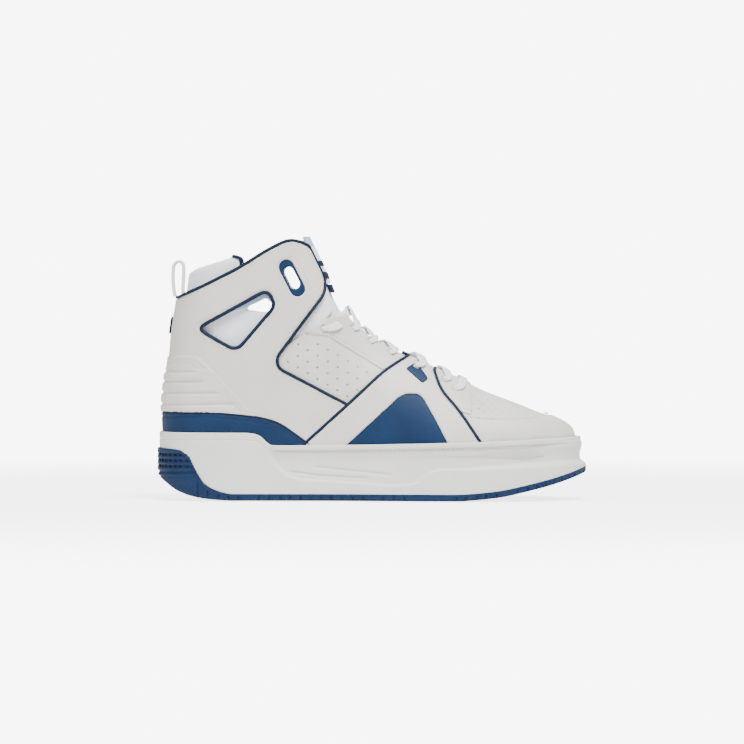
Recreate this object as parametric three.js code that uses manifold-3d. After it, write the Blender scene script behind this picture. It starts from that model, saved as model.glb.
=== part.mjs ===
// High-top basketball shoe, right foot, as an assembly of its cut and moulded pieces.
// Millimetres. +X points to the toe, +Z up, the outer (lateral) side of the foot faces -Y.
// The origin is on the ground under the middle of the shoe.
import * as THREE from 'three';
import { mergeVertices } from 'three/addons/utils/BufferGeometryUtils.js';
import Module from 'manifold-3d';

const wasm = await Module();
wasm.setup();

// ---- driving sizes -------------------------------------------------------------------
const shoeLength = 304; // heel bumper to toe
const forefootWidth = 111; // across the sole at the ball of the foot
const heelWidth = 80; // across the sole at the heel
const shaftHalfWidth = 36.5; // middle to the last's side at the ankle
const collarHeight = 182; // ground to the peak of the collar
const midsoleHeight = 39; // ground to the top of the midsole rim at the waist

const liningThickness = 1.7;
const stiffenerThickness = 0.7;
const quarterThickness = 1.6; // vamp, quarters and eyestays
const overlayThickness = 1.6; // collar, saddle, mudguard and heel pieces
const insetThickness = 1.0; // coloured leather let in behind an overlay
const ribbedExtra = 0.5; // the quilted heel panel is thicker than the other overlays
const pipingWidth = 1.9;
const pipingHeight = 2.1;
const tongueThickness = 4.5;
const collarPadThickness = 5;
const outsoleThickness = 4.8;
const cupFloor = 4; // floor of the cupsole above the outsole
const cupWall = 2; // rim of the cupsole beside the upper
const boardThickness = 1.5;
const sockThickness = 4;
const laceRadius = 1.1;
const eyeletRadius = 2.9;
const throatHalfWidth = 11.5;
const tongueHalfWidth = 23; // under the eyestays
const tongueTopHalfWidth = 19; // between the wings of the collar
const wingClearance = 1;
const laceRoom = 1.2; // between the lining and the tongue, for the lace's hidden runs
const tabWidth = 14;
const tabThickness = 1.6;
const badgeThickness = 0.8; // the small leather pieces sewn on over an overlay
const gap = 0.3; // between pieces that lie against each other

// ---- layers, measured outwards from the last surface ----------------------------------
const stiffenerOut = -gap;
const stiffenerIn = stiffenerOut - stiffenerThickness;
const liningOut = stiffenerIn - gap;
const liningIn = liningOut - liningThickness;
const tongueOut = liningIn - laceRoom;
const padOut = liningIn - gap;
const overlayIn = quarterThickness + gap;
const overlayOut = overlayIn + overlayThickness;

// ---- grading: every outline is drawn at these sizes and graded to the driving ones -----
const drawn = { length: 304, forefoot: 111, heel: 80, collar: 182, rim: 39, tongueTop: 19 };
const lengthGrade = shoeLength / drawn.length;
const shaftGrade = (collarHeight - midsoleHeight) / (drawn.collar - drawn.rim);
const gradeX = (x) => x * lengthGrade;
function gradeZ(z) {
  return z < drawn.rim ? z + (midsoleHeight - drawn.rim) : midsoleHeight + (z - drawn.rim) * shaftGrade;
}
const grade = (points) => points.map(([x, z, ...rest]) => [gradeX(x), gradeZ(z), ...rest]);

// a smooth curve that never overshoots its points
function smoothCurve(points) {
  const n = points.length;
  const step = [];
  const slope = [];
  for (let i = 0; i < n - 1; i++) {
    step.push(points[i + 1][0] - points[i][0]);
    slope.push((points[i + 1][1] - points[i][1]) / step[i]);
  }
  const tangent = [slope[0]];
  for (let i = 1; i < n - 1; i++) {
    const same = slope[i - 1] * slope[i] > 0;
    tangent.push(same ? (2 * slope[i - 1] * slope[i]) / (slope[i - 1] + slope[i]) : 0);
  }
  tangent.push(slope[n - 2]);
  return (value) => {
    const v = Math.min(Math.max(value, points[0][0]), points[n - 1][0]);
    let i = 0;
    while (i < n - 2 && v > points[i + 1][0]) i += 1;
    const h = step[i];
    const u = (v - points[i][0]) / h;
    const keep = (1 + 2 * u) * (1 - u) * (1 - u) * points[i][1] + u * u * (3 - 2 * u) * points[i + 1][1];
    return keep + h * u * (1 - u) * ((1 - u) * tangent[i] - u * tangent[i + 1]);
  };
}

// ---- the last: the surface that the upper is pulled over --------------------------------
const lastBottom = gradeZ(26);
const lastTop = gradeZ(196);
const feather = gradeZ(30);
const toeEnd = gradeX(141.4);
const backAtHeight = smoothCurve(grade([
  [-143.6, 26], [-144.8, 48], [-145.3, 65], [-143.9, 81], [-140.8, 101], [-139.2, 118],
  [-135.7, 141], [-132.5, 168], [-130, 196],
]).map(([x, z]) => [z, x]));
const frontAtHeight = smoothCurve(grade([
  [141.4, 26], [141.39, 34], [141.2, 44], [140, 48], [137, 51], [132.5, 53.6], [126, 56.6], [114, 61.4],
  [97, 68.2], [79, 75], [60, 85], [42, 94], [20, 103.6], [0, 115], [-10, 123.5], [-18, 134],
  [-23.5, 144], [-27.2, 154], [-35.8, 174], [-42, 187], [-46, 196],
]).map(([x, z]) => [z, x]));
const halfWidths = (rows, forefoot, heel) => smoothCurve(rows.map(([x, w, ball]) => {
  const share = ball * (forefoot / drawn.forefoot) + (1 - ball) * (heel / drawn.heel);
  return [gradeX(x), w * share];
}));
const plan = {
  lateral: halfWidths([
    [-152, 40, 0], [-110, 40.2, 0], [-75, 40, 0], [-45, 40.5, 0.3], [-15, 43.5, 0.6], [15, 48.5, 0.9],
    [45, 53.5, 1], [72, 55.2, 1], [95, 54, 1], [115, 51.5, 1], [152, 46, 1],
  ], forefootWidth, heelWidth),
  medial: halfWidths([
    [-152, 40, 0], [-110, 39.8, 0], [-75, 38, 0], [-45, 36.6, 0.3], [-15, 38.5, 0.6], [15, 45, 0.9],
    [45, 52, 1], [72, 55.5, 1], [95, 55.2, 1], [115, 52.5, 1], [152, 47, 1],
  ], forefootWidth, heelWidth),
};
const rimAllowance = 0.7; // the upper bulges a little between its rings
const soleToLast = cupWall + gap + rimAllowance + overlayOut;
const middleLine = smoothCurve([[0, 0], [gradeX(60), 1.5], [gradeX(110), 4.5], [gradeX(152), 7]]);
const sharpness = smoothCurve([
  [gradeX(-60), 3.2], [gradeX(-30), 2.7], [gradeX(0), 1.8], [gradeX(45), 1.8], [gradeX(75), 2.5],
  [gradeX(110), 3.6],
]);

function ridgeAt(x) {
  let low = gradeZ(34);
  let high = lastTop;
  if (x < frontAtHeight(high)) {
    const slope = 2.6; // the front of the shaft runs on upwards past the collar
    return high + (frontAtHeight(high) - x) * slope;
  }
  for (let i = 0; i < 40; i++) {
    const z = (low + high) / 2;
    if (frontAtHeight(z) > x) low = z;
    else high = z;
  }
  return (low + high) / 2;
}

const smoothStep = (t) => THREE.MathUtils.smoothstep(t, 0, 1);
const ankleBottom = gradeZ(70); // the foot becomes the shaft over this height and length
const ankleRise = 60;
const ankleFront = gradeX(8);
const ankleRun = 50;
const toeRound = 58; // length of the rounded toe
const heelRound = 36;
const toeFullness = 2.4; // 2 is an ellipse, more is squarer
// half width of the last at one place, on one side
function lastHalfWidth(x, z, side) {
  const ankle = smoothStep((z - ankleBottom) / ankleRise) * smoothStep((ankleFront - x) / ankleRun);
  const wide = (plan[side](x) - soleToLast) * (1 - ankle) + shaftHalfWidth * ankle;
  const toeStart = toeEnd - toeRound * lengthGrade;
  const intoToe = Math.max(0, (x - toeStart) / (toeEnd - toeStart));
  const toe = Math.sqrt(Math.max(0, 1 - intoToe ** toeFullness));
  const u = Math.min(Math.max((z - feather) / (ridgeAt(x) - feather), 0), 1);
  const roof = Math.sqrt(1 - u ** sharpness(x));
  const d = Math.min(Math.max((x - backAtHeight(z)) / heelRound, 0), 1);
  const heel = Math.sqrt(1 - (1 - d) ** 2);
  return wide * toe * roof * heel;
}

// a point of the last: turn 0 is the heel, 0.5 the front, the lateral side comes first
function lastPoint(turn, z) {
  const back = backAtHeight(z);
  const front = frontAtHeight(z);
  const angle = turn * 2 * Math.PI;
  const x = (back + front) / 2 - ((front - back) / 2) * Math.cos(angle);
  const lateral = turn < 0.5;
  const w = lastHalfWidth(x, z, lateral ? 'lateral' : 'medial');
  return new THREE.Vector3(x, middleLine(x) + (lateral ? -w : w), z);
}
function lastNormal(turn, z) {
  const dt = 0.004;
  const dz = 0.6;
  const around = lastPoint((turn + dt) % 1, z).sub(lastPoint((turn - dt + 1) % 1, z));
  const up = lastPoint(turn, Math.min(z + dz, lastTop)).sub(lastPoint(turn, Math.max(z - dz, lastBottom)));
  return around.cross(up).normalize();
}

const hem = 33; // the upper's pieces end here, under the rim of the cupsole
const ringCount = 28;
const levels = grade([hem, 40, 48, 55, 61.5, 69, 79, 90, 102, 114, 127, 141, 157, 175, 196]
  .map((z) => [0, z])).map((row) => row[1]);
const grid = levels.map((z) => Array.from({ length: ringCount }, (_, i) => {
  const turn = i / ringCount;
  return { point: lastPoint(turn, z), normal: lastNormal(turn, z) };
}));

// ---- solids ---------------------------------------------------------------------------
function toSolid(geometry) {
  const plain = geometry.clone();
  plain.deleteAttribute('normal');
  plain.deleteAttribute('uv');
  const merged = mergeVertices(plain, 1e-4);
  return new wasm.Manifold(new wasm.Mesh({
    numProp: 3,
    vertProperties: new Float32Array(merged.attributes.position.array),
    triVerts: new Uint32Array(merged.index.array),
  }));
}
function toGeometry(solid) {
  const mesh = solid.getMesh();
  const geometry = new THREE.BufferGeometry();
  geometry.setAttribute('position', new THREE.BufferAttribute(new Float32Array(mesh.vertProperties), 3));
  geometry.setIndex(new THREE.BufferAttribute(new Uint32Array(mesh.triVerts), 1));
  geometry.computeVertexNormals();
  return geometry;
}

// the wall between two offsets of the last, open at the top and bottom
function lastShell(inner, outer) {
  const positions = [];
  const index = [];
  const rows = levels.length;
  for (const offset of [inner, outer]) {
    for (const ring of grid) {
      for (const { point, normal } of ring) positions.push(...point.clone().addScaledVector(normal, offset));
    }
  }
  const at = (layer, row, i) => (layer * rows + row) * ringCount + (i % ringCount);
  const quad = (a, b, c, d) => index.push(a, b, c, a, c, d);
  for (let i = 0; i < ringCount; i++) {
    for (let row = 0; row < rows - 1; row++) {
      quad(at(1, row, i), at(1, row, i + 1), at(1, row + 1, i + 1), at(1, row + 1, i));
      quad(at(0, row, i), at(0, row + 1, i), at(0, row + 1, i + 1), at(0, row, i + 1));
    }
    quad(at(1, rows - 1, i), at(1, rows - 1, i + 1), at(0, rows - 1, i + 1), at(0, rows - 1, i));
    quad(at(1, 0, i), at(0, 0, i), at(0, 0, i + 1), at(1, 0, i + 1));
  }
  const geometry = new THREE.BufferGeometry();
  geometry.setAttribute('position', new THREE.Float32BufferAttribute(positions, 3));
  geometry.setIndex(index);
  return toSolid(geometry);
}

// an outline with rounded corners; each point is x, z and, where it is rounded, a radius
function rounded(points, open = false) {
  const out = [];
  points.forEach(([x, z, radius = 0], i) => {
    const lineEnd = open && (i === 0 || i === points.length - 1);
    if (radius === 0 || lineEnd) {
      out.push(new THREE.Vector2(x, z));
      return;
    }
    const here = new THREE.Vector2(x, z);
    const before = new THREE.Vector2(...points[(i + points.length - 1) % points.length]).sub(here);
    const after = new THREE.Vector2(...points[(i + 1) % points.length]).sub(here);
    const cut = Math.min(radius, before.length() * 0.45, after.length() * 0.45);
    const start = here.clone().addScaledVector(before.normalize(), cut);
    const end = here.clone().addScaledVector(after.normalize(), cut);
    out.push(...new THREE.QuadraticBezierCurve(start, here, end).getPoints(3));
  });
  return out;
}
function stadium(centreA, centreB, radius) {
  const a = new THREE.Vector2(...centreA);
  const b = new THREE.Vector2(...centreB);
  const heading = b.clone().sub(a).angle();
  const arc = (centre, from) => Array.from({ length: 7 }, (_, i) => {
    const angle = from + (i / 6) * Math.PI;
    return new THREE.Vector2(centre.x + radius * Math.cos(angle), centre.y + radius * Math.sin(angle));
  });
  return [...arc(b, heading - Math.PI / 2), ...arc(a, heading + Math.PI / 2)];
}
// moves a line sideways, to its left for a positive distance
function shiftLine(points, distance, closed = false) {
  const n = points.length;
  return points.map((point, i) => {
    const before = points[closed ? (i + n - 1) % n : Math.max(i - 1, 0)];
    const after = points[closed ? (i + 1) % n : Math.min(i + 1, n - 1)];
    const a = point.clone().sub(before);
    const b = after.clone().sub(point);
    if (a.length() < 1e-6) a.copy(b);
    if (b.length() < 1e-6) b.copy(a);
    const left = new THREE.Vector2(-a.y, a.x).normalize().add(new THREE.Vector2(-b.y, b.x).normalize());
    const spread = left.length() / 2;
    return point.clone().addScaledVector(left.normalize(), distance / Math.max(spread, 0.5));
  });
}
const band = (line, from, to) => [...shiftLine(line, from), ...shiftLine(line, to).reverse()];

const farSide = 90; // beyond the widest part of the shoe
// a block with a side-view outline, reaching from one y to another
function sideBlock(shape, y0 = -farSide, y1 = farSide) {
  const geometry = new THREE.ExtrudeGeometry(new THREE.Shape(shape), { depth: y1 - y0, bevelEnabled: false });
  geometry.rotateX(Math.PI / 2);
  geometry.translate(0, y1, 0);
  return toSolid(geometry);
}
// a block with an outline seen from above, reaching from one z to another
function planBlock(shape, z0, z1) {
  const geometry = new THREE.ExtrudeGeometry(new THREE.Shape(shape), { depth: z1 - z0, bevelEnabled: false });
  geometry.translate(0, 0, z0);
  return toSolid(geometry);
}
function boxBlock(x0, x1, y0, y1, z0, z1) {
  const geometry = new THREE.BoxGeometry(x1 - x0, y1 - y0, z1 - z0);
  geometry.translate((x0 + x1) / 2, (y0 + y1) / 2, (z0 + z1) / 2);
  return toSolid(geometry);
}
const sides = { lateral: [-farSide, -gap / 2], medial: [gap / 2, farSide] };

const shoe = new THREE.Group();
function addPiece(name, solid, color, roughness, metalness = 0) {
  const material = new THREE.MeshStandardMaterial({ color, roughness, metalness });
  const mesh = new THREE.Mesh(solid.isBufferGeometry ? solid : toGeometry(solid), material);
  mesh.name = name;
  shoe.add(mesh);
}
const colours = {
  leather: '#d9d7cf', midsole: '#e3e2dd', blue: '#2f567d', piping: '#1f3b57', textile: '#e4e6f2',
  lace: '#f6f6f4', board: '#c9bfa8', foam: '#e9e6dc', stiffener: '#b8b2a4',
};

// ---- outlines in side view --------------------------------------------------------------
const past = 170; // outlines run on past the heel and toe, so that pieces wrap round them
const below = 20; // outlines run on below the hem in the same way
const outline = (points) => rounded(grade(points));
const line = (points) => rounded(grade(points), true);

const collarTop = [
  [-past, 138], [-139, 141], [-117, 150.8, 8], [-92, 163.5, 8], [-72, 176.3, 8], [-57, 183.5, 10],
];
const wingBack = (tongueTopHalfWidth - drawn.tongueTop) * 1.5; // the wings stand back from a wider tongue
const collarFront = [
  [-43 - wingBack, 178, 8], [-34 - wingBack, 157, 10], [-34 - wingBack, 146, 8],
  [-55.7, 117.2], [-68, 100.5, 7], [-66.5, 92.5, 6], [-17, 66.4],
];
const saddleRear = [[-68.4, below], [-17, 66.4], [9.4, 90.8, 8], [22, 98.6, 6], [29.9, 103, 4], [36, 103, 4]];
const saddleFront = [[42.6, 92.5, 6], [47.4, 77.6, 8], [58, 65.8, 8], [64.4, 57.2], [89.1, below]];
const collarOutline = outline([...collarTop, ...collarFront, [-68.4, below], [-past, below]]);
const saddleOutline = outline([...saddleRear, ...saddleFront]);
const insetOutline = outline([
  [-38.6, below], [21.5, 75.4, 6], [34, 75.4, 5], [43.3, 59.3], [50.4, 45.8], [63, below],
]);
const windowOutline = outline([[-124.5, 121, 8], [-95, 104, 8], [-66.5, 137.5, 8], [-73.5, 149.3, 9]]);
const windowGapOutline = outline([[-92, 134.2, 2], [-74, 132.2, 2], [-69.4, 137.4, 2], [-74.2, 142.6, 2]]);
const slotEnds = grade([[-60.2, 164.2], [-52.4, 148.8]]);
const slotHoleEnds = grade([[-58.7, 160.8], [-54.4, 152.4]]);
const slotRadius = 5.1;
const slotHoleRadius = 3.7;
const slotOutline = (extra) => stadium(slotEnds[0], slotEnds[1], slotRadius + extra);
const slotHole = (extra) => stadium(slotHoleEnds[0], slotHoleEnds[1], slotHoleRadius + extra);
const heelPanelTop = line([[-past, 101], [-144, 101], [-124, 102.4, 8], [-116, 96, 8], [-82, 58.9]]);
const foxingTop = line([[-past, 62.4], [-112, 61.7], [-82, 58.9, 20], [-66, 55, 14], [-45, 40], [-24, below]]);
const seamEyestay = line([
  [-47, 118.5], [-41, 116.3, 4], [-31, 115.8, 6], [-24, 111, 6], [8.4, 91.4, 10], [30, 77],
  [52, 65.5, 6], [64.5, 62, 2], [70, 60],
]);
const quarterTop = [[-59.4, 109.8], [-48.5, 116.4], [-36.3, 124.4, 6], [-28.9, 128.4, 5], [-12, 130]];
const vampSeam = grade([[63.6, below], [63.8, 62], [68, 79], [68, 100]]);
const mudguardTop = line([
  [58, 66], [66, 59.4, 4], [80.5, 57.7], [98, 57.2, 20], [110, 57.2], [127, 59.6, 10], [past, 62],
]);

// eyelets, from the toe upwards
const eyelets = grade([
  [58.5, 76.8], [50.6, 83], [30.5, 91.2], [12.5, 102], [-1.8, 110.2], [-14.5, 119.8], [-34.5, 120.4],
]);
const saddleEyelet = 2;

// ---- upper ------------------------------------------------------------------------------
// the opening over the instep, seen from above, from the throat up into the ankle
const throat = (extra) => {
  const w = throatHalfWidth + extra;
  const end = gradeX(66) + extra;
  return [[end, 2, 4], [end - 4, 2 + w * 0.8, 5], [gradeX(40), 1.5 + w * 1.1, 10], [gradeX(10), w * 0.9, 12],
    [gradeX(-8), w * 0.95, 10], [gradeX(-26), w * 1.5, 10], [gradeX(-90), w * 1.8],
    [gradeX(-90), -w * 1.8], [gradeX(-26), -w * 1.5, 10], [gradeX(-8), -w * 0.95, 10],
    [gradeX(10), -w * 0.9, 12],
    [gradeX(40), 1.5 - w * 1.1, 10], [end - 4, 2 - w * 0.8, 5]];
};
const throatFloor = gradeZ(72);
const throatAbove = gradeZ(210);
const aboveInstep = line([[-70, 240], [-70, 118], [-30, 90], [80, 60], [100, 240]]);
const throatBlock = (extra) => planBlock(rounded(throat(extra)), throatFloor, throatAbove)
  .intersect(sideBlock(aboveInstep));
const wingGapHalf = tongueTopHalfWidth + wingClearance;
const wingGapBlock = boxBlock(gradeX(-75), gradeX(20), -wingGapHalf, wingGapHalf, gradeZ(128), throatAbove);

// a hole along the last's normal through everything near it
function eyeletHole([x, z], side, radius) {
  const { point, normal } = onLast(x, z, side);
  const geometry = new THREE.CylinderGeometry(radius, radius, 16, 8);
  geometry.applyQuaternion(new THREE.Quaternion().setFromUnitVectors(new THREE.Vector3(0, 1, 0), normal));
  geometry.translate(point.x, point.y, point.z);
  return toSolid(geometry);
}
function onLast(x, z, side) {
  const back = backAtHeight(z);
  const front = frontAtHeight(z);
  const along = ((back + front) / 2 - x) / ((front - back) / 2);
  const half = Math.acos(THREE.MathUtils.clamp(along, -1, 1)) / (2 * Math.PI);
  const turn = side === 'lateral' ? half : 1 - half;
  return { point: lastPoint(turn, z), normal: lastNormal(turn, z) };
}

const liningShell = lastShell(liningIn, liningOut);
const stiffenerShell = lastShell(stiffenerIn, stiffenerOut);
const quarterShell = lastShell(0, quarterThickness);
const overlayShell = lastShell(overlayIn, overlayOut);
const insetShell = lastShell(overlayIn, overlayIn + insetThickness);
const ribbedShell = lastShell(overlayIn, overlayOut + ribbedExtra);
const pipingShell = lastShell(overlayIn, overlayIn + pipingHeight);
const badgeShell = lastShell(overlayOut + gap, overlayOut + gap + badgeThickness);
const saddleTabOutline = outline([[23.5, 93, 2], [31.5, 97.5, 2], [40, 85.5, 2], [35.5, 82.5, 2]]);
const seamCut = (seam, y0, y1) => sideBlock(band(seam, -gap / 2, gap / 2), y0, y1);
const wholeRow = (x0, z0, x1, z1) => line([[x0, z0], [x1, z0], [x1, z1], [x0, z1]]);

const vampBlock = sideBlock([...vampSeam, [gradeX(past), gradeZ(100)], [gradeX(past), gradeZ(below)]]
  .map((p) => new THREE.Vector2(...p)));
const vampCut = sideBlock(band(vampSeam.map((p) => new THREE.Vector2(...p)), -gap / 2, gap / 2));
addPiece('vamp', quarterShell.intersect(vampBlock).subtract(throatBlock(0)).subtract(vampCut),
  colours.leather, 0.55);
addPiece('lining_forefoot', liningShell.intersect(vampBlock).subtract(throatBlock(1)).subtract(vampCut),
  colours.textile, 0.9);
const toePuffOutline = wholeRow(98, below, past, 70);
addPiece('toe_puff', stiffenerShell.intersect(sideBlock(toePuffOutline)), colours.stiffener, 0.7);
const mudguardOutline = [...mudguardTop, ...grade([[past, below], [89.1, below], [64.4, 57.2]])
  .map((p) => new THREE.Vector2(...p))];
const saddleAndPiping = shiftLine(saddleOutline, pipingWidth + 3 * gap, true);
const mudguard = overlayShell.intersect(sideBlock(mudguardOutline)).subtract(sideBlock(saddleAndPiping));
addPiece('mudguard', mudguard, colours.leather, 0.55);

const heelPanelOutline = [...heelPanelTop, ...foxingTop.slice(0, -2).reverse()
  .filter((p) => p.x < gradeX(-81.9))];
addPiece('heel_panel', ribbedShell.intersect(sideBlock(heelPanelOutline))
  .subtract(seamCut(heelPanelTop)).subtract(seamCut(foxingTop)), colours.leather, 0.6);
const foxingOutline = [...foxingTop, new THREE.Vector2(gradeX(-past), gradeZ(below))];
addPiece('heel_foxing', overlayShell.intersect(sideBlock(foxingOutline)).subtract(seamCut(foxingTop))
  .subtract(sideBlock(saddleAndPiping)), colours.blue, 0.45);
const counterOutline = wholeRow(-past, below, -78, 96);
addPiece('heel_counter', stiffenerShell.intersect(sideBlock(counterOutline)), colours.stiffener, 0.7);

// lace: one length, criss-crossed through the eyelets, its ends tucked in beside the tongue
function onFront(z, y, offset) {
  const lateral = y < middleLine(frontAtHeight(z));
  let near = 0.5;
  let far = lateral ? 0.2 : 0.8;
  for (let i = 0; i < 30; i++) {
    const turn = (near + far) / 2;
    const inside = lateral ? lastPoint(turn, z).y > y : lastPoint(turn, z).y < y;
    if (inside) near = turn;
    else far = turn;
  }
  return lastPoint(near, z).addScaledVector(lastNormal(near, z), offset);
}
const laceLift = 0.7; // the lace rides a little above the leather
const laceTuck = 0.45;
const laceUnder = tongueOut / 2 + laceTuck; // the hidden runs lie between the tongue and the eyestay
const laceCross = 1.5; // where one half passes over the other
function laceOver(k) {
  const under = k === saddleEyelet ? overlayOut + gap + badgeThickness : quarterThickness;
  return under + gap + laceLift + laceRadius;
}
const laceBend = 2.4; // from the eyelet's middle to the lace's run beside it
function laceHalf(first) {
  const points = [onFront(eyelets[0][1] + 4, middleLine(eyelets[0][0]), laceUnder)];
  eyelets.forEach(([x, z], k) => {
    const lateral = (k % 2 === 0) === (first === 'lateral');
    const sign = lateral ? -1 : 1;
    const y = onLast(x, z, lateral ? 'lateral' : 'medial').point.y;
    points.push(onFront(z + 0.6, y - sign * laceBend, laceUnder - 0.3));
    points.push(onFront(z, y + sign * 0.2, 0.2));
    points.push(onFront(z, y + sign * 0.2, laceOver(k) - 1.6));
    points.push(onFront(z + 0.6, y - sign * laceBend, laceOver(k)));
    if (k === eyelets.length - 1) {
      points.push(onFront(z + 2.5, y - sign * 6, laceOver(k)));
      return;
    }
    const [nextX, nextZ] = eyelets[k + 1];
    const nextY = onLast(nextX, nextZ, lateral ? 'medial' : 'lateral').point.y;
    const crossX = (x + nextX) / 2;
    const crossZ = ((z + nextZ) / 2 + ridgeAt(crossX)) / 2;
    const middle = middleLine(crossX);
    const edge = throatHalfWidth * 0.74;
    const rise = (fromZ, fromY) => {
      const share = Math.min(edge / Math.abs(fromY - middle), 1);
      return crossZ + (fromZ - crossZ) * share ** 1.5;
    };
    points.push(onFront(rise(z, y), middle + sign * edge, laceOver(k)));
    points.push(onFront(crossZ, middle, lateral ? laceCross : laceUnder));
    points.push(onFront(rise(nextZ, nextY), middle - sign * edge, laceUnder));
  });
  return points;
}
const laceRoute = [...laceHalf('medial').slice(1).reverse(), ...laceHalf('lateral')];
const laceCurve = new THREE.CatmullRomCurve3(laceRoute, false, 'centripetal');
function laceTube(radius) {
  const section = new THREE.Shape(Array.from({ length: 5 }, (_, i) => {
    const angle = (i / 5) * 2 * Math.PI;
    return new THREE.Vector2(radius * Math.cos(angle), radius * Math.sin(angle));
  }));
  const steps = Math.round(laceRoute.length * 1.4);
  return new THREE.ExtrudeGeometry(section, { steps, extrudePath: laceCurve });
}
addPiece('lace', laceTube(laceRadius), colours.lace, 0.85);
const laceChannel = toSolid(laceTube(laceRadius + gap));

// the top of the cupsole's rim, and the space above it
const rimLift = midsoleHeight - drawn.rim;
const sole = (points) => points.map(([x, z]) => new THREE.Vector2(gradeX(x), z));
const rimTop = [[past, 44.8], [120, 43.5], [74, 41.6], [-70, 39], [-74, 44], [-82, 47.6], [-past, 48]]
  .map(([x, z]) => [x, z + rimLift]);
const rimClear = rimTop.map(([x, z]) => [x, z + gap]).reverse();
const aboveRim = sideBlock(sole([...rimClear, [past, 240], [-past, 240]]));
const tabGap = boxBlock(gradeX(-past), gradeX(-120), -tabWidth / 2 - gap, tabWidth / 2 + gap, 0, throatAbove);

for (const [side, [y0, y1]] of Object.entries(sides)) {
  const holes = eyelets.map((eyelet) => eyeletHole(eyelet, side, eyeletRadius));
  const punch = (solid) => holes.reduce((rest, hole) => rest.subtract(hole), solid);
  const half = (shape) => sideBlock(shape, y0, y1);

  // quarter: the perforated side panel and the layer under the collar and saddle
  const quarterOutline = [...line([[-past, 136.5], [-129, 138.5]]),
    ...shiftLine(line(collarTop.slice(2)), -2.2), ...shiftLine(line(collarFront.slice(0, 5)), -2.2),
    ...line([...quarterTop, [63.6, 130], [63.6, below], [-past, below]])];
  const openings = half(shiftLine(windowOutline, -gap, true)).add(half(slotOutline(gap)));
  const quarterSide = quarterShell.intersect(half(quarterOutline)).subtract(openings).subtract(vampCut);
  const aboveSeam = half([...seamEyestay, ...line([[70, 150], [-12, 150], [-30, 131], [-47, 126]])]);
  addPiece(`quarter_${side}`, quarterSide.subtract(aboveSeam).subtract(seamCut(seamEyestay, y0, y1))
    .subtract(wingGapBlock), colours.leather, 0.6);
  addPiece(`eyestay_${side}`, punch(quarterSide.intersect(aboveSeam).subtract(throatBlock(0))
    .subtract(seamCut(seamEyestay, y0, y1))).subtract(laceChannel), colours.leather, 0.55);

  // lining with the see-through gap in the window and the slot
  const liningOutline = [...line([[-past, 134], [-138, 136.5]]), ...shiftLine(line(collarTop.slice(2)), -1.2),
    ...shiftLine(line(collarFront.slice(0, 5)), -1.2),
    ...shiftLine(seamEyestay, -1.5).filter((p) => p.x < gradeX(60)),
    ...line([[63.6, 58], [63.6, below], [-past, below]])];
  addPiece(`lining_${side}`, liningShell.intersect(half(liningOutline)).subtract(half(windowGapOutline))
    .subtract(half(slotHole(gap))).subtract(vampCut).subtract(wingGapBlock), colours.textile, 0.9);

  // collar overlay, cut back for the heel panel, the foxing and the saddle
  const collar = overlayShell.intersect(half(collarOutline))
    .subtract(half([...heelPanelTop, new THREE.Vector2(gradeX(-82), gradeZ(below)),
      new THREE.Vector2(gradeX(-past), gradeZ(below))]))
    .subtract(half(foxingOutline)).subtract(seamCut(heelPanelTop, y0, y1)).subtract(seamCut(foxingTop, y0, y1))
    .subtract(half(saddleAndPiping)).subtract(openings).subtract(wingGapBlock);
  addPiece(`collar_${side}`, collar, colours.leather, 0.55);

  addPiece(`window_trim_${side}`, pipingShell.intersect(half(windowOutline))
    .subtract(half(shiftLine(windowOutline, pipingWidth, true))), colours.piping, 0.45);
  addPiece(`slot_trim_${side}`, insetShell.intersect(half(slotOutline(0))).subtract(half(slotHole(0))),
    colours.piping, 0.4);

  addPiece(`saddle_${side}`, overlayShell.intersect(half(saddleOutline)).subtract(half(insetOutline))
    .subtract(throatBlock(0)).subtract(holes[saddleEyelet]), colours.leather, 0.55);
  addPiece(`saddle_inset_${side}`, insetShell.intersect(half(shiftLine(insetOutline, -gap, true))),
    colours.blue, 0.4);

  const collarEdge = line([...collarTop, ...collarFront]);
  addPiece(`collar_piping_${side}`, pipingShell.intersect(half(band(collarEdge, gap, gap + pipingWidth)))
    .subtract(half(saddleAndPiping)).subtract(wingGapBlock).subtract(tabGap), colours.piping, 0.45);
  for (const [end, edge] of [['rear', saddleRear], ['front', saddleFront]]) {
    const strip = half(band(line(edge), gap, gap + pipingWidth));
    addPiece(`saddle_piping_${end}_${side}`, pipingShell.intersect(strip).subtract(throatBlock(0))
      .intersect(aboveRim), colours.piping, 0.45);
  }
  addPiece(`saddle_tab_${side}`, badgeShell.intersect(half(saddleTabOutline)).subtract(throatBlock(1))
    .subtract(holes[saddleEyelet]), colours.blue, 0.4);
}

// heel: badge over the back seam, padded collar, pull tab and its anchor
const badgeOutline = wholeRow(-past, 117, -120, 129);
const badgeHalfWidth = 4;
addPiece('heel_badge', badgeShell.intersect(sideBlock(badgeOutline, -badgeHalfWidth, badgeHalfWidth)),
  colours.piping, 0.4);
const padOutline = line([
  [-past, 112], [-past, 150], [-138, 151.5, 4], [-127, 162.5, 8], [-95.5, 172.5, 4], [-90.5, 165, 4],
  [-90, 112],
]);
addPiece('collar_pad', lastShell(padOut - collarPadThickness, padOut).intersect(sideBlock(padOutline)),
  colours.textile, 0.9);
const anchorBlock = sideBlock(wholeRow(-past, 138.9, -126, 142), -tabWidth / 2, tabWidth / 2);
addPiece('tab_anchor', quarterShell.intersect(anchorBlock), colours.textile, 0.8);
const tabBase = gradeZ(142.3);
const tabStandOff = 3.4; // the loop stands behind the collar
const tabBack = backAtHeight(tabBase) - quarterThickness - tabStandOff;
const tabLength = 25.7;
const tabDepth = 7.8;
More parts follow.
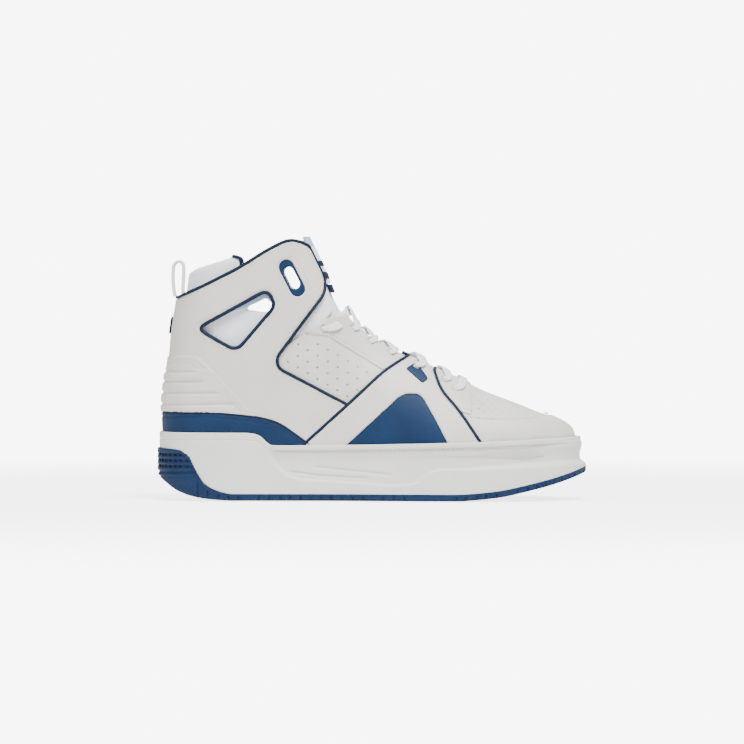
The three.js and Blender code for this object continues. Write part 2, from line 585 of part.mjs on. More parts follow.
const loopOutline = (inset) => rounded([
  [tabBack + inset, tabBase + inset, 1], [tabBack + tabDepth - inset, tabBase + inset, 1],
  [tabBack + tabDepth - inset, tabBase + tabLength - inset, 5],
  [tabBack + inset, tabBase + tabLength - inset, 5],
]);
addPiece('pull_tab', sideBlock(loopOutline(0), -tabWidth / 2, tabWidth / 2)
  .subtract(sideBlock(loopOutline(tabThickness))), colours.lace, 0.8);

// tongue: base under the laces, padded top that folds forward, generic striped patch
const tongueShell = lastShell(tongueOut - tongueThickness, tongueOut);
const tongueSide = line([
  [100, 60], [100, 110], [0, 160], [-34, 190], [-37, 185.5], [-64, 181], [-52, 150], [-37, 116], [-2, 83],
  [60, 56],
]);
const tongueEnd = gradeX(76);
const tongueWidest = gradeX(20);
const tongueShoulder = tongueWidest - 40;
const tongueBack = gradeX(-110);
const tongueToeHalf = tongueHalfWidth - 7;
const tongueBlock = planBlock(rounded([
  [tongueBack, tongueTopHalfWidth], [tongueBack, -tongueTopHalfWidth],
  [tongueShoulder, -tongueTopHalfWidth, 10], [tongueWidest, -tongueHalfWidth, 10],
  [tongueEnd, -tongueToeHalf, 6], [tongueEnd, tongueToeHalf, 6],
  [tongueWidest, tongueHalfWidth, 10], [tongueShoulder, tongueTopHalfWidth, 10],
]), gradeZ(50), gradeZ(196)).intersect(sideBlock(tongueSide));
const foldHeight = 147;
const foldLine = line([[-10, foldHeight + 7], [-80, foldHeight - 24]]);
const tongue = tongueShell.intersect(tongueBlock);
const aboveFold = sideBlock([...foldLine, ...line([[-80, 230], [-10, 230]])]);
const foldGap = 0.8;
const foldCut = sideBlock(band(foldLine, -foldGap / 2, foldGap / 2));
addPiece('tongue_base', tongue.subtract(aboveFold).subtract(foldCut).subtract(laceChannel),
  colours.textile, 0.85);
const betweenWings = boxBlock(gradeX(-100), gradeX(20), -tongueTopHalfWidth, tongueTopHalfWidth, gradeZ(100),
  throatAbove);
addPiece('tongue_top', tongue.intersect(aboveFold).subtract(foldCut).intersect(betweenWings),
  colours.textile, 0.85);
const patchOutline = line([[-10, 160], [-60, 142], [-60, 176], [-20, 176]]);
const patchHalfWidth = 11;
addPiece('tongue_patch', lastShell(tongueOut + gap, tongueOut + gap + badgeThickness)
  .intersect(sideBlock(patchOutline, -patchHalfWidth, patchHalfWidth)).intersect(aboveFold)
  .subtract(sideBlock(wholeRow(-past, 100, -56, 200))), colours.piping, 0.5);

// ---- sole unit ------------------------------------------------------------------------
const heelEnd = gradeX(-151.6);
const noseEnd = gradeX(152);
const noseRound = 60;
const soleHeelRound = 42;
function soleOutline(inset) {
  const back = heelEnd + inset;
  const front = noseEnd - inset;
  const nose = noseRound * lengthGrade;
  const heel = soleHeelRound - inset / 2;
  const steps = 15;
  const sideLine = (side, sign) => Array.from({ length: steps + 1 }, (_, i) => {
    const x = (back + front) / 2 - ((front - back) / 2) * Math.cos((Math.PI * i) / steps);
    const end = Math.max(0, (x - (front - nose)) / nose);
    const start = Math.max(0, 1 - (x - back) / heel);
    const ends = Math.sqrt(Math.max(0, 1 - end ** toeFullness)) * Math.sqrt(Math.max(0, 1 - start ** 2));
    return new THREE.Vector2(x, middleLine(x) + sign * (plan[side](x) - inset) * ends);
  });
  return [...sideLine('lateral', -1), ...sideLine('medial', 1).reverse().slice(1, -1)];
}
const solePrism = (inset, z0 = -5, z1 = 80) => planBlock(soleOutline(inset), z0, z1);
const sprung = (x0, lift) => [
  [x0, lift], [57, lift], [85, lift + 2], [112, lift + 7.2], [139, lift + 14.3], [past, lift + 26],
];
const upperSeat = solePrism(cupWall, gradeZ(hem) - 2, 90); // where the upper sits inside the rim
const heelCurve = [[-152, 20], [-146, 12], [-137, 6.3], [-126, 2.8], [-113, 0.9], [-100, 0]];
const bumperFront = [
  [-104, 6.6], [-111, 7.9], [-118, 12.2], [-121.6, 17.2], [-126, 25.1], [-129, 31.1], [-132.5, 34.1],
];
const bumperOutline = sole([
  [-past, 20], ...heelCurve, [-104, 4.5], ...bumperFront, [-past, 36.6],
]);
const bumperWall = 5;
const bumperStep = 0.4; // the bumper stands proud of the midsole
const heelFloor = (lift) => sideBlock(sole([[-past, 24 + lift], ...heelCurve.map(([x, z]) => [x, z + lift]),
  [-60, lift], [-60, 90], [-past, 90]]));
addPiece('heel_bumper', solePrism(-bumperStep).intersect(sideBlock(bumperOutline))
  .subtract(solePrism(bumperWall).intersect(heelFloor(outsoleThickness))).subtract(upperSeat),
colours.blue, 0.6);
const outsoleOutline = sole([...sprung(-99, 0), ...sprung(-103.6, outsoleThickness).reverse()]);
addPiece('outsole', solePrism(0.3).intersect(sideBlock(outsoleOutline)), colours.blue, 0.6);
const underside = (lift) => [
  [-past, 24 + lift], ...heelCurve.map(([x, z]) => [x, z + lift]), ...sprung(-60, lift),
];
const bodyOutline = sole([...underside(outsoleThickness + gap), ...rimTop]);
const floorOutline = sole([...underside(outsoleThickness + gap + cupFloor), [past, 90], [-past, 90]]);
const coreHollow = 7; // the wall of the cupsole beside the foam core
const coreTop = gradeZ(27);
const bumperSeat = solePrism(-1).intersect(sideBlock(shiftLine(bumperOutline, -gap, true)))
  .subtract(solePrism(bumperWall + gap).intersect(heelFloor(outsoleThickness + gap)));
const cupsole = solePrism(0).intersect(sideBlock(bodyOutline))
  .subtract(solePrism(coreHollow).intersect(sideBlock(floorOutline)))
  .subtract(upperSeat).subtract(bumperSeat);
addPiece('midsole', cupsole, colours.midsole, 0.5);
const coreOutline = sole([...underside(outsoleThickness + 2 * gap + cupFloor), [past, 90], [-past, 90]]);
addPiece('midsole_core', solePrism(coreHollow + gap, -5, coreTop).intersect(sideBlock(coreOutline)),
  colours.foam, 0.9);

// inside: the board that the upper is stitched to, and the removable sockliner
const insideOutline = (inset) => {
  const ring = Array.from({ length: ringCount }, (_, i) => {
    const { x, y } = lastPoint(i / ringCount, gradeZ(40));
    return new THREE.Vector2(x, y);
  });
  return shiftLine(ring, inset, true);
};
const boardInset = 0.5; // inside the lining, beyond its inner face
const sockInset = 1.8;
const boardBottom = coreTop + gap;
addPiece('strobel_board', planBlock(insideOutline(-liningIn + boardInset), boardBottom, boardBottom + boardThickness),
  colours.board, 0.9);
const sockBottom = boardBottom + boardThickness + gap;
addPiece('sockliner', planBlock(insideOutline(-liningIn + sockInset), sockBottom, sockBottom + sockThickness),
  colours.foam, 0.9);

// the origin is under the middle of the sole
const soleBox = new THREE.Box2().setFromPoints(soleOutline(0));
shoe.position.set(-(heelEnd - bumperStep + noseEnd) / 2, -(soleBox.min.y + soleBox.max.y) / 2, 0);

export default shoe;
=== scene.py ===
import math

import bpy
import numpy as np
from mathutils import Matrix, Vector


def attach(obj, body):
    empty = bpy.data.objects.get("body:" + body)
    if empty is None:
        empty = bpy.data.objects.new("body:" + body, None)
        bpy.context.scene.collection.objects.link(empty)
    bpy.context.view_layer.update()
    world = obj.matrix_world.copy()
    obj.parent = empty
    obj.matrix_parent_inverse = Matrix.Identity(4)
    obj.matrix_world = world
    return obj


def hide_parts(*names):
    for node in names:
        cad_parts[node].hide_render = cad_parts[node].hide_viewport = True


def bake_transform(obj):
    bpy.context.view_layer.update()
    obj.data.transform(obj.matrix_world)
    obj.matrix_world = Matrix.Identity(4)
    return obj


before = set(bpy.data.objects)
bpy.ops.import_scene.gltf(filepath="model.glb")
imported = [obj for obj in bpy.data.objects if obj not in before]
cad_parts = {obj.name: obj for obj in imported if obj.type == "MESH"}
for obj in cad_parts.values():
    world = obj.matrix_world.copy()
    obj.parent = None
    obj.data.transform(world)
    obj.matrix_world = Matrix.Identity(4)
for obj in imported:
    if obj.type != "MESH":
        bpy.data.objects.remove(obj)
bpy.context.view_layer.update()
bpy.ops.object.select_all(action="DESELECT")
mm = 0.001
mmEach = 1000  # noise scales are per metre
print("frame loaded:", len(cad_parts), "nodes")


# the last: the surface that the upper is pulled over, in millimetres

def smoothCurve(points):
    xs, ys = (np.array(column, float) for column in zip(*points))
    step = np.diff(xs)
    slope = np.diff(ys) / step
    both = slope[:-1] * slope[1:]
    total = np.where(both > 0, slope[:-1] + slope[1:], 1)
    inner = np.where(both > 0, 2 * both / total, 0)
    tangent = np.concatenate([slope[:1], inner, slope[-1:]])

    def at(value):
        v = np.clip(value, xs[0], xs[-1])
        i = np.clip(np.searchsorted(xs, v, side="right") - 1, 0, len(step) - 1)
        u = (v - xs[i]) / step[i]
        keep = (1 + 2 * u) * (1 - u) ** 2 * ys[i] + u * u * (3 - 2 * u) * ys[i + 1]
        return keep + step[i] * u * (1 - u) * ((1 - u) * tangent[i] - u * tangent[i + 1])

    return at


last = {
    "hem": 33, "top": 196, "feather": 30, "toeEnd": 141.4, "toeRound": 58, "heelRound": 36,
    "shaftHalfWidth": 36.5, "toSole": 6.5, "wingHalf": 20,
}
backAt = smoothCurve([
    (26, -143.6), (48, -144.8), (65, -145.3), (81, -143.9), (101, -140.8), (118, -139.2),
    (141, -135.7), (168, -132.5), (196, -130),
])
frontAt = smoothCurve([
    (26, 141.4), (34, 141.39), (44, 141.2), (48, 140), (51, 137), (53.6, 132.5), (56.6, 126), (61.4, 114),
    (68.2, 97), (75, 79), (85, 60), (94, 42), (103.6, 20), (115, 0), (123.5, -10), (134, -18),
    (144, -23.5), (154, -27.2), (174, -35.8), (187, -42), (196, -46),
])
planWidth = {
    "lateral": smoothCurve([
        (-152, 40), (-110, 40.2), (-75, 40), (-45, 40.5), (-15, 43.5), (15, 48.5), (45, 53.5),
        (72, 55.2), (95, 54), (115, 51.5), (152, 46),
    ]),
    "medial": smoothCurve([
        (-152, 40), (-110, 39.8), (-75, 38), (-45, 36.6), (-15, 38.5), (15, 45), (45, 52),
        (72, 55.5), (95, 55.2), (115, 52.5), (152, 47),
    ]),
}
middleLine = smoothCurve([(0, 0), (60, 1.5), (110, 4.5), (152, 7)])
sharpness = smoothCurve([(-60, 3.2), (-30, 2.7), (0, 1.8), (45, 1.8), (75, 2.5), (110, 3.6)])
ridgeHeights = np.linspace(34, last["top"], 800)
ridgePlaces = frontAt(ridgeHeights)
sides = {"lateral": -1, "medial": 1}


def ridgeAt(x):
    z = np.interp(x, ridgePlaces[::-1], ridgeHeights[::-1])
    beyond = ridgePlaces[-1] - x
    return np.where(beyond > 0, last["top"] + beyond * 2.6, z)


def smoothStep(t):
    t = np.clip(t, 0, 1)
    return t * t * (3 - 2 * t)


def lastHalfWidth(x, z, side):
    ankle = smoothStep((z - 70) / 60) * smoothStep((8 - x) / 50)
    wide = (planWidth[side](x) - last["toSole"]) * (1 - ankle) + last["shaftHalfWidth"] * ankle
    toeShare = np.clip((x - last["toeEnd"] + last["toeRound"]) / last["toeRound"], 0, 1)
    rise = np.clip((z - last["feather"]) / (ridgeAt(x) - last["feather"]), 0, 1)
    heelShare = np.clip((x - backAt(z)) / last["heelRound"], 0, 1)
    roof = np.sqrt(1 - rise ** sharpness(x))
    return wide * np.sqrt(1 - toeShare ** 2.4) * roof * np.sqrt(1 - (1 - heelShare) ** 2)


def lastPoint(turn, z):
    turn, z = np.broadcast_arrays(np.asarray(turn, float), np.asarray(z, float))
    back, front = backAt(z), frontAt(z)
    x = (back + front) / 2 - (front - back) / 2 * np.cos(2 * np.pi * turn)
    lateral = turn < 0.5
    w = np.where(lateral, -lastHalfWidth(x, z, "lateral"), lastHalfWidth(x, z, "medial"))
    return np.stack([x, middleLine(x) + w, z], -1)


def lastNormal(turn, z):
    around = lastPoint((turn + 0.004) % 1, z) - lastPoint((turn - 0.004) % 1, z)
    low, high = np.maximum(z - 0.6, 26), np.minimum(z + 0.6, last["top"])
    normal = np.cross(around, lastPoint(turn, high) - lastPoint(turn, low))
    return normal / np.linalg.norm(normal, axis=-1, keepdims=True)


def turnAt(x, z, side, clear=0.0):
    # where a side-view place lies around the last; clear keeps it that far from the middle plane
    back, front = backAt(z), frontAt(z)
    along = np.clip(((back + front) / 2 - x) / ((front - back) / 2), -1, 1)
    turn = np.arccos(along) / (2 * np.pi)
    if clear:
        low, high = np.full(turn.shape, 0.2), np.full(turn.shape, 0.5)
        for _ in range(24):
            middle = (low + high) / 2
            wide = np.abs(lastPoint(middle, z)[..., 1]) > clear
            low, high = np.where(wide, middle, low), np.where(wide, high, middle)
        turn = np.minimum(turn, low)
    return turn if side == "lateral" else 1 - turn


def onLast(x, z, side, height=0.0, clear=0.0):
    x, z = np.asarray(x, float), np.asarray(z, float)
    turn = turnAt(x, z, side, clear)
    normal = lastNormal(turn, z)
    return lastPoint(turn, z) + normal * np.asarray(height)[..., None], normal


# the sole's outline, from which the whole shoe is centred

sole = {"back": -151.6, "front": 152, "nose": 60, "heel": 42, "steps": 380}


def solePlan(steps=sole["steps"]):
    # the same places along the length on both sides, lateral first, and the way inwards at each
    angle = np.pi * np.arange(steps + 1) / steps
    x = (sole["back"] + sole["front"]) / 2 - (sole["front"] - sole["back"]) / 2 * np.cos(angle)
    end = np.clip((x - sole["front"] + sole["nose"]) / sole["nose"], 0, 1)
    start = np.clip(1 - (x - sole["back"]) / sole["heel"], 0, 1)
    ends = np.sqrt(np.clip(1 - end ** 2.4, 0, 1)) * np.sqrt(np.clip(1 - start ** 2, 0, 1))
    halves = [np.stack([x, middleLine(x) + sign * planWidth[side](x) * ends], -1) for side, sign in sides.items()]
    ring = np.concatenate([halves[0], halves[1][-2:0:-1]])
    along = np.roll(ring, -1, 0) - np.roll(ring, 1, 0)
    inward = np.stack([-along[:, 1], along[:, 0]], -1)
    return ring, inward / np.linalg.norm(inward, axis=1, keepdims=True)


ringPlan, ringInward = solePlan()
yShift = -(ringPlan[:, 1].min() + ringPlan[:, 1].max()) / 2


# meshes, cuts and sweeps

def makeMesh(name, points, faces, smooth=True):
    points = np.asarray(points, float) + np.array([0, yShift, 0])
    mesh = bpy.data.meshes.new(name)
    mesh.from_pydata((points * mm).tolist(), [], faces if isinstance(faces, list) else faces.tolist())
    mesh.polygons.foreach_set("use_smooth", [smooth] * len(mesh.polygons))
    piece = bpy.data.objects.new(name, mesh)
    bpy.context.scene.collection.objects.link(piece)
    return piece


def makeActive(piece):
    bpy.ops.object.select_all(action="DESELECT")
    piece.select_set(True)
    bpy.context.view_layer.objects.active = piece


def applyModifiers(piece):
    makeActive(piece)
    for modifier in list(piece.modifiers):
        bpy.ops.object.modifier_apply(modifier=modifier.name)


def cut(piece, block, operation="DIFFERENCE"):
    modifier = piece.modifiers.new("cut", "BOOLEAN")
    modifier.object = block
    modifier.operation = operation
    modifier.solver = "MANIFOLD"
    applyModifiers(piece)
    bpy.data.objects.remove(block)
    return piece


def outwards(piece):
    makeActive(piece)
    bpy.ops.object.mode_set(mode="EDIT")
    bpy.ops.mesh.select_all(action="SELECT")
    bpy.ops.mesh.normals_make_consistent(inside=False)
    bpy.ops.object.mode_set(mode="OBJECT")
    return piece


def rounded(points, closed=True, steps=5):
    out = []
    for i, (x, z, *radius) in enumerate(points):
        here = np.array([x, z], float)
        lineEnd = not closed and i in (0, len(points) - 1)
        if not radius or lineEnd:
            out.append(here)
            continue
        before = np.array(points[i - 1][:2], float) - here
        after = np.array(points[(i + 1) % len(points)][:2], float) - here
        reach = min(radius[0], 0.45 * np.linalg.norm(before), 0.45 * np.linalg.norm(after))
        start = here + before / np.linalg.norm(before) * reach
        end = here + after / np.linalg.norm(after) * reach
        for u in np.linspace(0, 1, steps):
            out.append(start * (1 - u) ** 2 + here * 2 * u * (1 - u) + end * u * u)
    return np.array(out)


def shiftLine(points, distance, closed=False):
    # to the line's left for a positive distance
    if closed:
        a, b = points - np.roll(points, 1, 0), np.roll(points, -1, 0) - points
    else:
        step = np.diff(points, axis=0)
        a, b = np.vstack([step[:1], step]), np.vstack([step, step[-1:]])
    left = [np.stack([-v[:, 1], v[:, 0]], -1) / np.maximum(np.linalg.norm(v, axis=1), 1e-9)[:, None]
            for v in (a, b)]
    mean = (left[0] + left[1]) / 2
    size = np.linalg.norm(mean, axis=1)
    return points + mean / size[:, None] * (distance / np.maximum(size, 0.5))[:, None]


def extrudedBlock(name, points, y0, y1):
    # a side-view outline drawn with a filled circle's vertices, extruded across the shoe
    bpy.ops.object.select_all(action="DESELECT")
    bpy.ops.mesh.primitive_circle_add(vertices=len(points), fill_type="NGON")
    block = bpy.context.object
    block.name = name
    for vertex, (x, z) in zip(block.data.vertices, points):
        vertex.co = (x * mm, (y0 + yShift) * mm, z * mm)
    bpy.ops.object.mode_set(mode="EDIT")
    bpy.ops.mesh.select_all(action="SELECT")
    bpy.ops.mesh.extrude_region_move(TRANSFORM_OT_translate={"value": (0, (y1 - y0) * mm, 0)})
    bpy.ops.mesh.select_all(action="SELECT")
    bpy.ops.mesh.normals_make_consistent(inside=False)
    bpy.ops.object.mode_set(mode="OBJECT")
    return block


def planBlock(name, points, z0, z1):
    block = extrudedBlock(name, points, 0, 10)
    low = min(v.co.y for v in block.data.vertices)
    for vertex in block.data.vertices:
        x, y, z = vertex.co
        vertex.co = (x, z + yShift * mm, (z0 if y < low + 1e-4 else z1) * mm)
    return outwards(block)


farSide = 90
bands = {"lateral": (-farSide, -0.1), "medial": (0.1, farSide), "both": (-farSide, farSide)}


def sideBlock(points, side="both"):
    return extrudedBlock("block", points, *bands[side])


shellCache = {}
shellTurns = np.arange(300) / 300
shellLevels = np.concatenate([
    np.arange(last["hem"], 48, 1.5), np.arange(48, 62, 0.35), np.arange(62, 100, 1.0), np.arange(100, 197, 2.0),
])
turnGrid, levelGrid = np.meshgrid(shellTurns, shellLevels)
shellPoints = lastPoint(turnGrid, levelGrid)
shellNormals = lastNormal(turnGrid, levelGrid)


def lastShell(inner, outer):
    # the closed wall between two offsets of the last
    if (inner, outer) not in shellCache:
        rows, ring = turnGrid.shape
        points = np.concatenate([(shellPoints + shellNormals * t).reshape(-1, 3) for t in (inner, outer)])
        at = np.arange(rows * ring).reshape(rows, ring)
        nextAt = np.roll(at, -1, 1)
        wall = np.stack([at[:-1], nextAt[:-1], nextAt[1:], at[1:]], -1).reshape(-1, 4)
        far = rows * ring
        lower = np.stack([at[0], nextAt[0], nextAt[0] + far, at[0] + far], -1)
        upper = np.stack([at[-1] + far, nextAt[-1] + far, nextAt[-1], at[-1]], -1)
        faces = np.concatenate([wall + far, wall[:, ::-1], lower, upper])
        shellCache[inner, outer] = makeMesh("shell", points, faces)
        shellCache[inner, outer].hide_render = True
    copy = shellCache[inner, outer].copy()
    copy.data = copy.data.copy()
    copy.hide_render = False
    bpy.context.scene.collection.objects.link(copy)
    return copy


def soften(piece, voxel=0.9, rounds=4):
    skin = piece.modifiers.new("skin", "REMESH")
    skin.mode = "VOXEL"
    skin.voxel_size = voxel * mm
    skin.use_smooth_shade = True
    roll = piece.modifiers.new("roll", "SMOOTH")
    roll.factor = 0.5
    roll.iterations = rounds
    applyModifiers(piece)
    return piece


def panel(name, heights, outline, side="both", cuts=(), voxel=0.9, rounds=4):
    # leather cut to a side-view outline from the wall between two heights above the last
    piece = lastShell(*heights)
    piece.name = name
    piece.data.name = name
    cut(piece, sideBlock(outline, side), "INTERSECT")
    for block in cuts:
        cut(piece, block)
    return soften(piece, voxel, rounds)


def sweep(name, path, across, halfWidth, halfThick, count=10, power=2.0, closed=False):
    # a tube or flat ribbon along a path; across is the direction of its width
    path = np.asarray(path, float)
    n = len(path)
    if closed:
        tangent = np.roll(path, -1, 0) - np.roll(path, 1, 0)
    else:
        tangent = np.gradient(path, axis=0)
    tangent /= np.linalg.norm(tangent, axis=1, keepdims=True)
    across = across - tangent * np.sum(across * tangent, 1)[:, None]
    across /= np.linalg.norm(across, axis=1, keepdims=True)
    up = np.cross(tangent, across)
    angle = 2 * np.pi * np.arange(count) / count
    c = np.sign(np.cos(angle)) * np.abs(np.cos(angle)) ** (2 / power)
    s = np.sign(np.sin(angle)) * np.abs(np.sin(angle)) ** (2 / power)
    halfWidth, halfThick = (np.broadcast_to(v, n)[:, None, None] for v in (halfWidth, halfThick))
    rings = (path[:, None] + across[:, None] * c[None, :, None] * halfWidth
             + up[:, None] * s[None, :, None] * halfThick)
    at = np.arange(n * count).reshape(n, count)
    nextAt = np.roll(at, -1, 1)
    if closed:
        below, above, nextBelow, nextAbove = at, np.roll(at, -1, 0), nextAt, np.roll(nextAt, -1, 0)
    else:
        below, above, nextBelow, nextAbove = at[:-1], at[1:], nextAt[:-1], nextAt[1:]
    faces = np.stack([below, nextBelow, nextAbove, above], -1).reshape(-1, 4).tolist()
    if not closed:
        faces += [at[0][::-1].tolist(), at[-1].tolist()]
    piece = makeMesh(name, rings.reshape(-1, 3), faces)
    lengths = np.concatenate([[0], np.cumsum(np.linalg.norm(np.diff(path, axis=0), axis=1))])
    layer = piece.data.uv_layers.new(name="UVMap")  # u across, v along, both in metres
    row = np.array([loop.vertex_index for loop in piece.data.loops])
    uv = np.stack([np.broadcast_to(c, (n, count)).ravel()[row] * halfWidth.mean(), lengths[row // count]], -1) * mm
    layer.data.foreach_set("uv", uv.ravel())
    return outwards(piece)


def evenly(path, pitch):
    path = np.asarray(path, float)
    length = np.concatenate([[0], np.cumsum(np.linalg.norm(np.diff(path, axis=0), axis=1))])
    count = max(int(length[-1] / pitch), 2)
    places = np.linspace(0, length[-1], count + 1)
    return np.stack([np.interp(places, length, path[:, k]) for k in range(path.shape[1])], -1)


def smoothPath(points, pitch=0.8):
    # Catmull-Rom through given points
    p = np.asarray(points, float)
    p = np.vstack([2 * p[0] - p[1], p, 2 * p[-1] - p[-2]])
    out = []
    for i in range(1, len(p) - 2):
        for u in np.linspace(0, 1, 8, endpoint=False):
            out.append(0.5 * (2 * p[i] + (p[i + 1] - p[i - 1]) * u
                              + (2 * p[i - 1] - 5 * p[i] + 4 * p[i + 1] - p[i + 2]) * u ** 2
                              + (3 * p[i] - p[i - 1] - 3 * p[i + 1] + p[i + 2]) * u ** 3))
    out.append(p[-2])
    return evenly(out, pitch)


def pipingOn(name, flatLine, side, height, radius, clear=0.0, closed=False):
    line = evenly(np.vstack([flatLine, flatLine[:1]]) if closed else flatLine, 1.0)
    if closed:
        line = line[:-1]
    base = line
    for _ in range(4):  # until the raised path, not its foot, is on the line
        path, normal = onLast(base[:, 0], base[:, 1], side, height, clear)
        base = base + (line - path[:, [0, 2]]) * [0.8, 1.0]
    apart = np.append(True, np.linalg.norm(np.diff(path, axis=0), axis=1) > 0.05)  # the line folds up at the heel
    path, normal = path[apart], normal[apart]
    tangent = np.gradient(path, axis=0)
    return sweep(name, path, np.cross(tangent, normal), radius, radius, 10, closed=closed)


def joinAll(name, pieces):
    bpy.ops.object.select_all(action="DESELECT")
    for piece in pieces:
        piece.select_set(True)
    bpy.context.view_layer.objects.active = pieces[0]
    if len(pieces) > 1:
        bpy.ops.object.join()
    pieces[0].name = name
    pieces[0].data.name = name
    return pieces[0]


def scatter(name, points, forward, up, template):
    # copies of one small mesh, each turned to its own place, in one mesh
    forward = forward / np.linalg.norm(forward, axis=1, keepdims=True)
    across = np.cross(up, forward)
    across /= np.linalg.norm(across, axis=1, keepdims=True)
    up = np.cross(forward, across)
    shape, faces = template
    verts = (points[:, None] + shape[None, :, 0:1] * forward[:, None] + shape[None, :, 1:2] * across[:, None]
             + shape[None, :, 2:3] * up[:, None])
    count = len(shape)
    allFaces = [[v + k * count for v in face] for k in range(len(points)) for face in faces]
    return makeMesh(name, verts.reshape(-1, 3), allFaces)


def templateFrom(stretch):
    piece = bpy.context.object
    shape = np.array([v.co for v in piece.data.vertices]) * np.array(stretch)
    faces = [list(p.vertices) for p in piece.data.polygons]
    bpy.data.objects.remove(piece)
    return shape, faces


stitch = {"pitch": 2.7, "length": 2.0, "width": 0.75, "height": 0.6}
bpy.ops.mesh.primitive_uv_sphere_add(segments=6, ring_count=4, radius=0.5)
stitchShape = templateFrom((stitch["length"], stitch["width"], stitch["height"]))


def stitchesAlong(name, flatLine, side, height, clear=0.0):
    line = evenly(flatLine, 1.0)
    path, normal = onLast(line[:, 0], line[:, 1], side, height, clear)
    both = evenly(np.hstack([path, normal]), 1.0)
    steps = np.concatenate([[0], np.cumsum(np.linalg.norm(np.diff(both[:, :3], axis=0), axis=1))])
    places = np.arange(stitch["pitch"] / 2, steps[-1], stitch["pitch"])
    row = np.stack([np.interp(places, steps, both[:, k]) for k in range(6)], -1)
    forward = np.gradient(row[:, :3], axis=0)
    return scatter(name, row[:, :3], forward, row[:, 3:], stitchShape)


# materials

def linear(hexColour):
    values = [int(hexColour[i:i + 2], 16) / 255 for i in (1, 3, 5)]
    return tuple(v / 12.92 if v <= 0.04045 else ((v + 0.055) / 1.055) ** 2.4 for v in values) + (1,)


def addNode(tree, kind, inputs=None, **settings):
    node = tree.nodes.new(kind)
    for key, value in settings.items():
        setattr(node, key, value)
    for key, value in (inputs or {}).items():
        if isinstance(value, bpy.types.NodeSocket):
            tree.links.new(value, node.inputs[key])
        else:
            node.inputs[key].default_value = value
    return node


def startMaterial(name, roughness, **sockets):
    material = bpy.data.materials.new(name)
    material.use_nodes = True
    tree = material.node_tree
    shader = tree.nodes["Principled BSDF"]
    shader.inputs["Roughness"].default_value = roughness
    for key, value in sockets.items():
        shader.inputs[key.replace("_", " ")].default_value = value
    place = addNode(tree, "ShaderNodeTexCoord")
    return material, tree, shader, place


def tinted(tree, shader, fac, dark, light):
    ramp = addNode(tree, "ShaderNodeValToRGB", {"Fac": fac})
    ramp.color_ramp.elements[0].color = linear(dark)
    ramp.color_ramp.elements[1].color = linear(light)
    ramp.color_ramp.elements[0].position = 0.3
    ramp.color_ramp.elements[1].position = 0.7
    tree.links.new(ramp.outputs["Color"], shader.inputs["Base Color"])


def leather(name, dark, light, roughness, grain=1.1, depth=0.12, shine=0.5):
    # full-grain leather with a thin pigmented finish: fine pebbles, faint cloudy tone, a soft sheen on bends
    material, tree, shader, place = startMaterial(name, roughness, Specular_IOR_Level=shine)
    spot = place.outputs["Object"]
    cloud = addNode(tree, "ShaderNodeTexNoise", {"Vector": spot, "Scale": mmEach / 28, "Detail": 4.0})
    tinted(tree, shader, cloud.outputs["Fac"], dark, light)
    pebble = addNode(tree, "ShaderNodeTexVoronoi", {"Vector": spot, "Scale": mmEach / grain}, feature="SMOOTH_F1")
    crease = addNode(tree, "ShaderNodeTexNoise", {
        "Vector": spot, "Scale": mmEach / 9, "Detail": 6.0, "Roughness": 0.6,
    })
    fine = addNode(tree, "ShaderNodeBump", {
        "Height": pebble.outputs["Distance"], "Strength": 0.35, "Distance": depth * mm,
    })
    broad = addNode(tree, "ShaderNodeBump", {
        "Height": crease.outputs["Fac"], "Strength": 0.5, "Distance": 0.5 * mm, "Normal": fine.outputs["Normal"],
    })
    tree.links.new(broad.outputs["Normal"], shader.inputs["Normal"])
    rough = addNode(tree, "ShaderNodeMapRange", {
        "Value": pebble.outputs["Distance"], "To Min": roughness - 0.06, "To Max": roughness + 0.08,
    })
    tree.links.new(rough.outputs["Result"], shader.inputs["Roughness"])
    return material


def rubber(name, dark, light, roughness, shine=0.5):
    # moulded rubber: even colour with a faint mottle and the fine texture of a blasted mould
    material, tree, shader, place = startMaterial(name, roughness, Specular_IOR_Level=shine)
    spot = place.outputs["Object"]
    mottle = addNode(tree, "ShaderNodeTexNoise", {"Vector": spot, "Scale": mmEach / 20, "Detail": 5.0})
    tinted(tree, shader, mottle.outputs["Fac"], dark, light)
    blast = addNode(tree, "ShaderNodeTexNoise", {"Vector": spot, "Scale": mmEach / 0.8, "Detail": 2.0})
    bump = addNode(tree, "ShaderNodeBump", {"Height": blast.outputs["Fac"], "Strength": 0.2, "Distance": 0.1 * mm})
    tree.links.new(bump.outputs["Normal"], shader.inputs["Normal"])
    return material


def knit(name, dark, light, spacing, depth=0.25):
    # brushed polyester textile: small even loops, a little sheen on the nap
    material, tree, shader, place = startMaterial(name, 0.85, Sheen_Weight=0.25)
    spot = place.outputs["Object"]
    cloud = addNode(tree, "ShaderNodeTexNoise", {"Vector": spot, "Scale": mmEach / 25, "Detail": 3.0})
    tinted(tree, shader, cloud.outputs["Fac"], dark, light)
    loops = addNode(tree, "ShaderNodeTexVoronoi", {"Vector": spot, "Scale": mmEach / spacing, "Randomness": 0.35})
    bump = addNode(tree, "ShaderNodeBump", {
        "Height": loops.outputs["Distance"], "Strength": 0.45, "Distance": depth * mm,
    })
    tree.links.new(bump.outputs["Normal"], shader.inputs["Normal"])
    return material


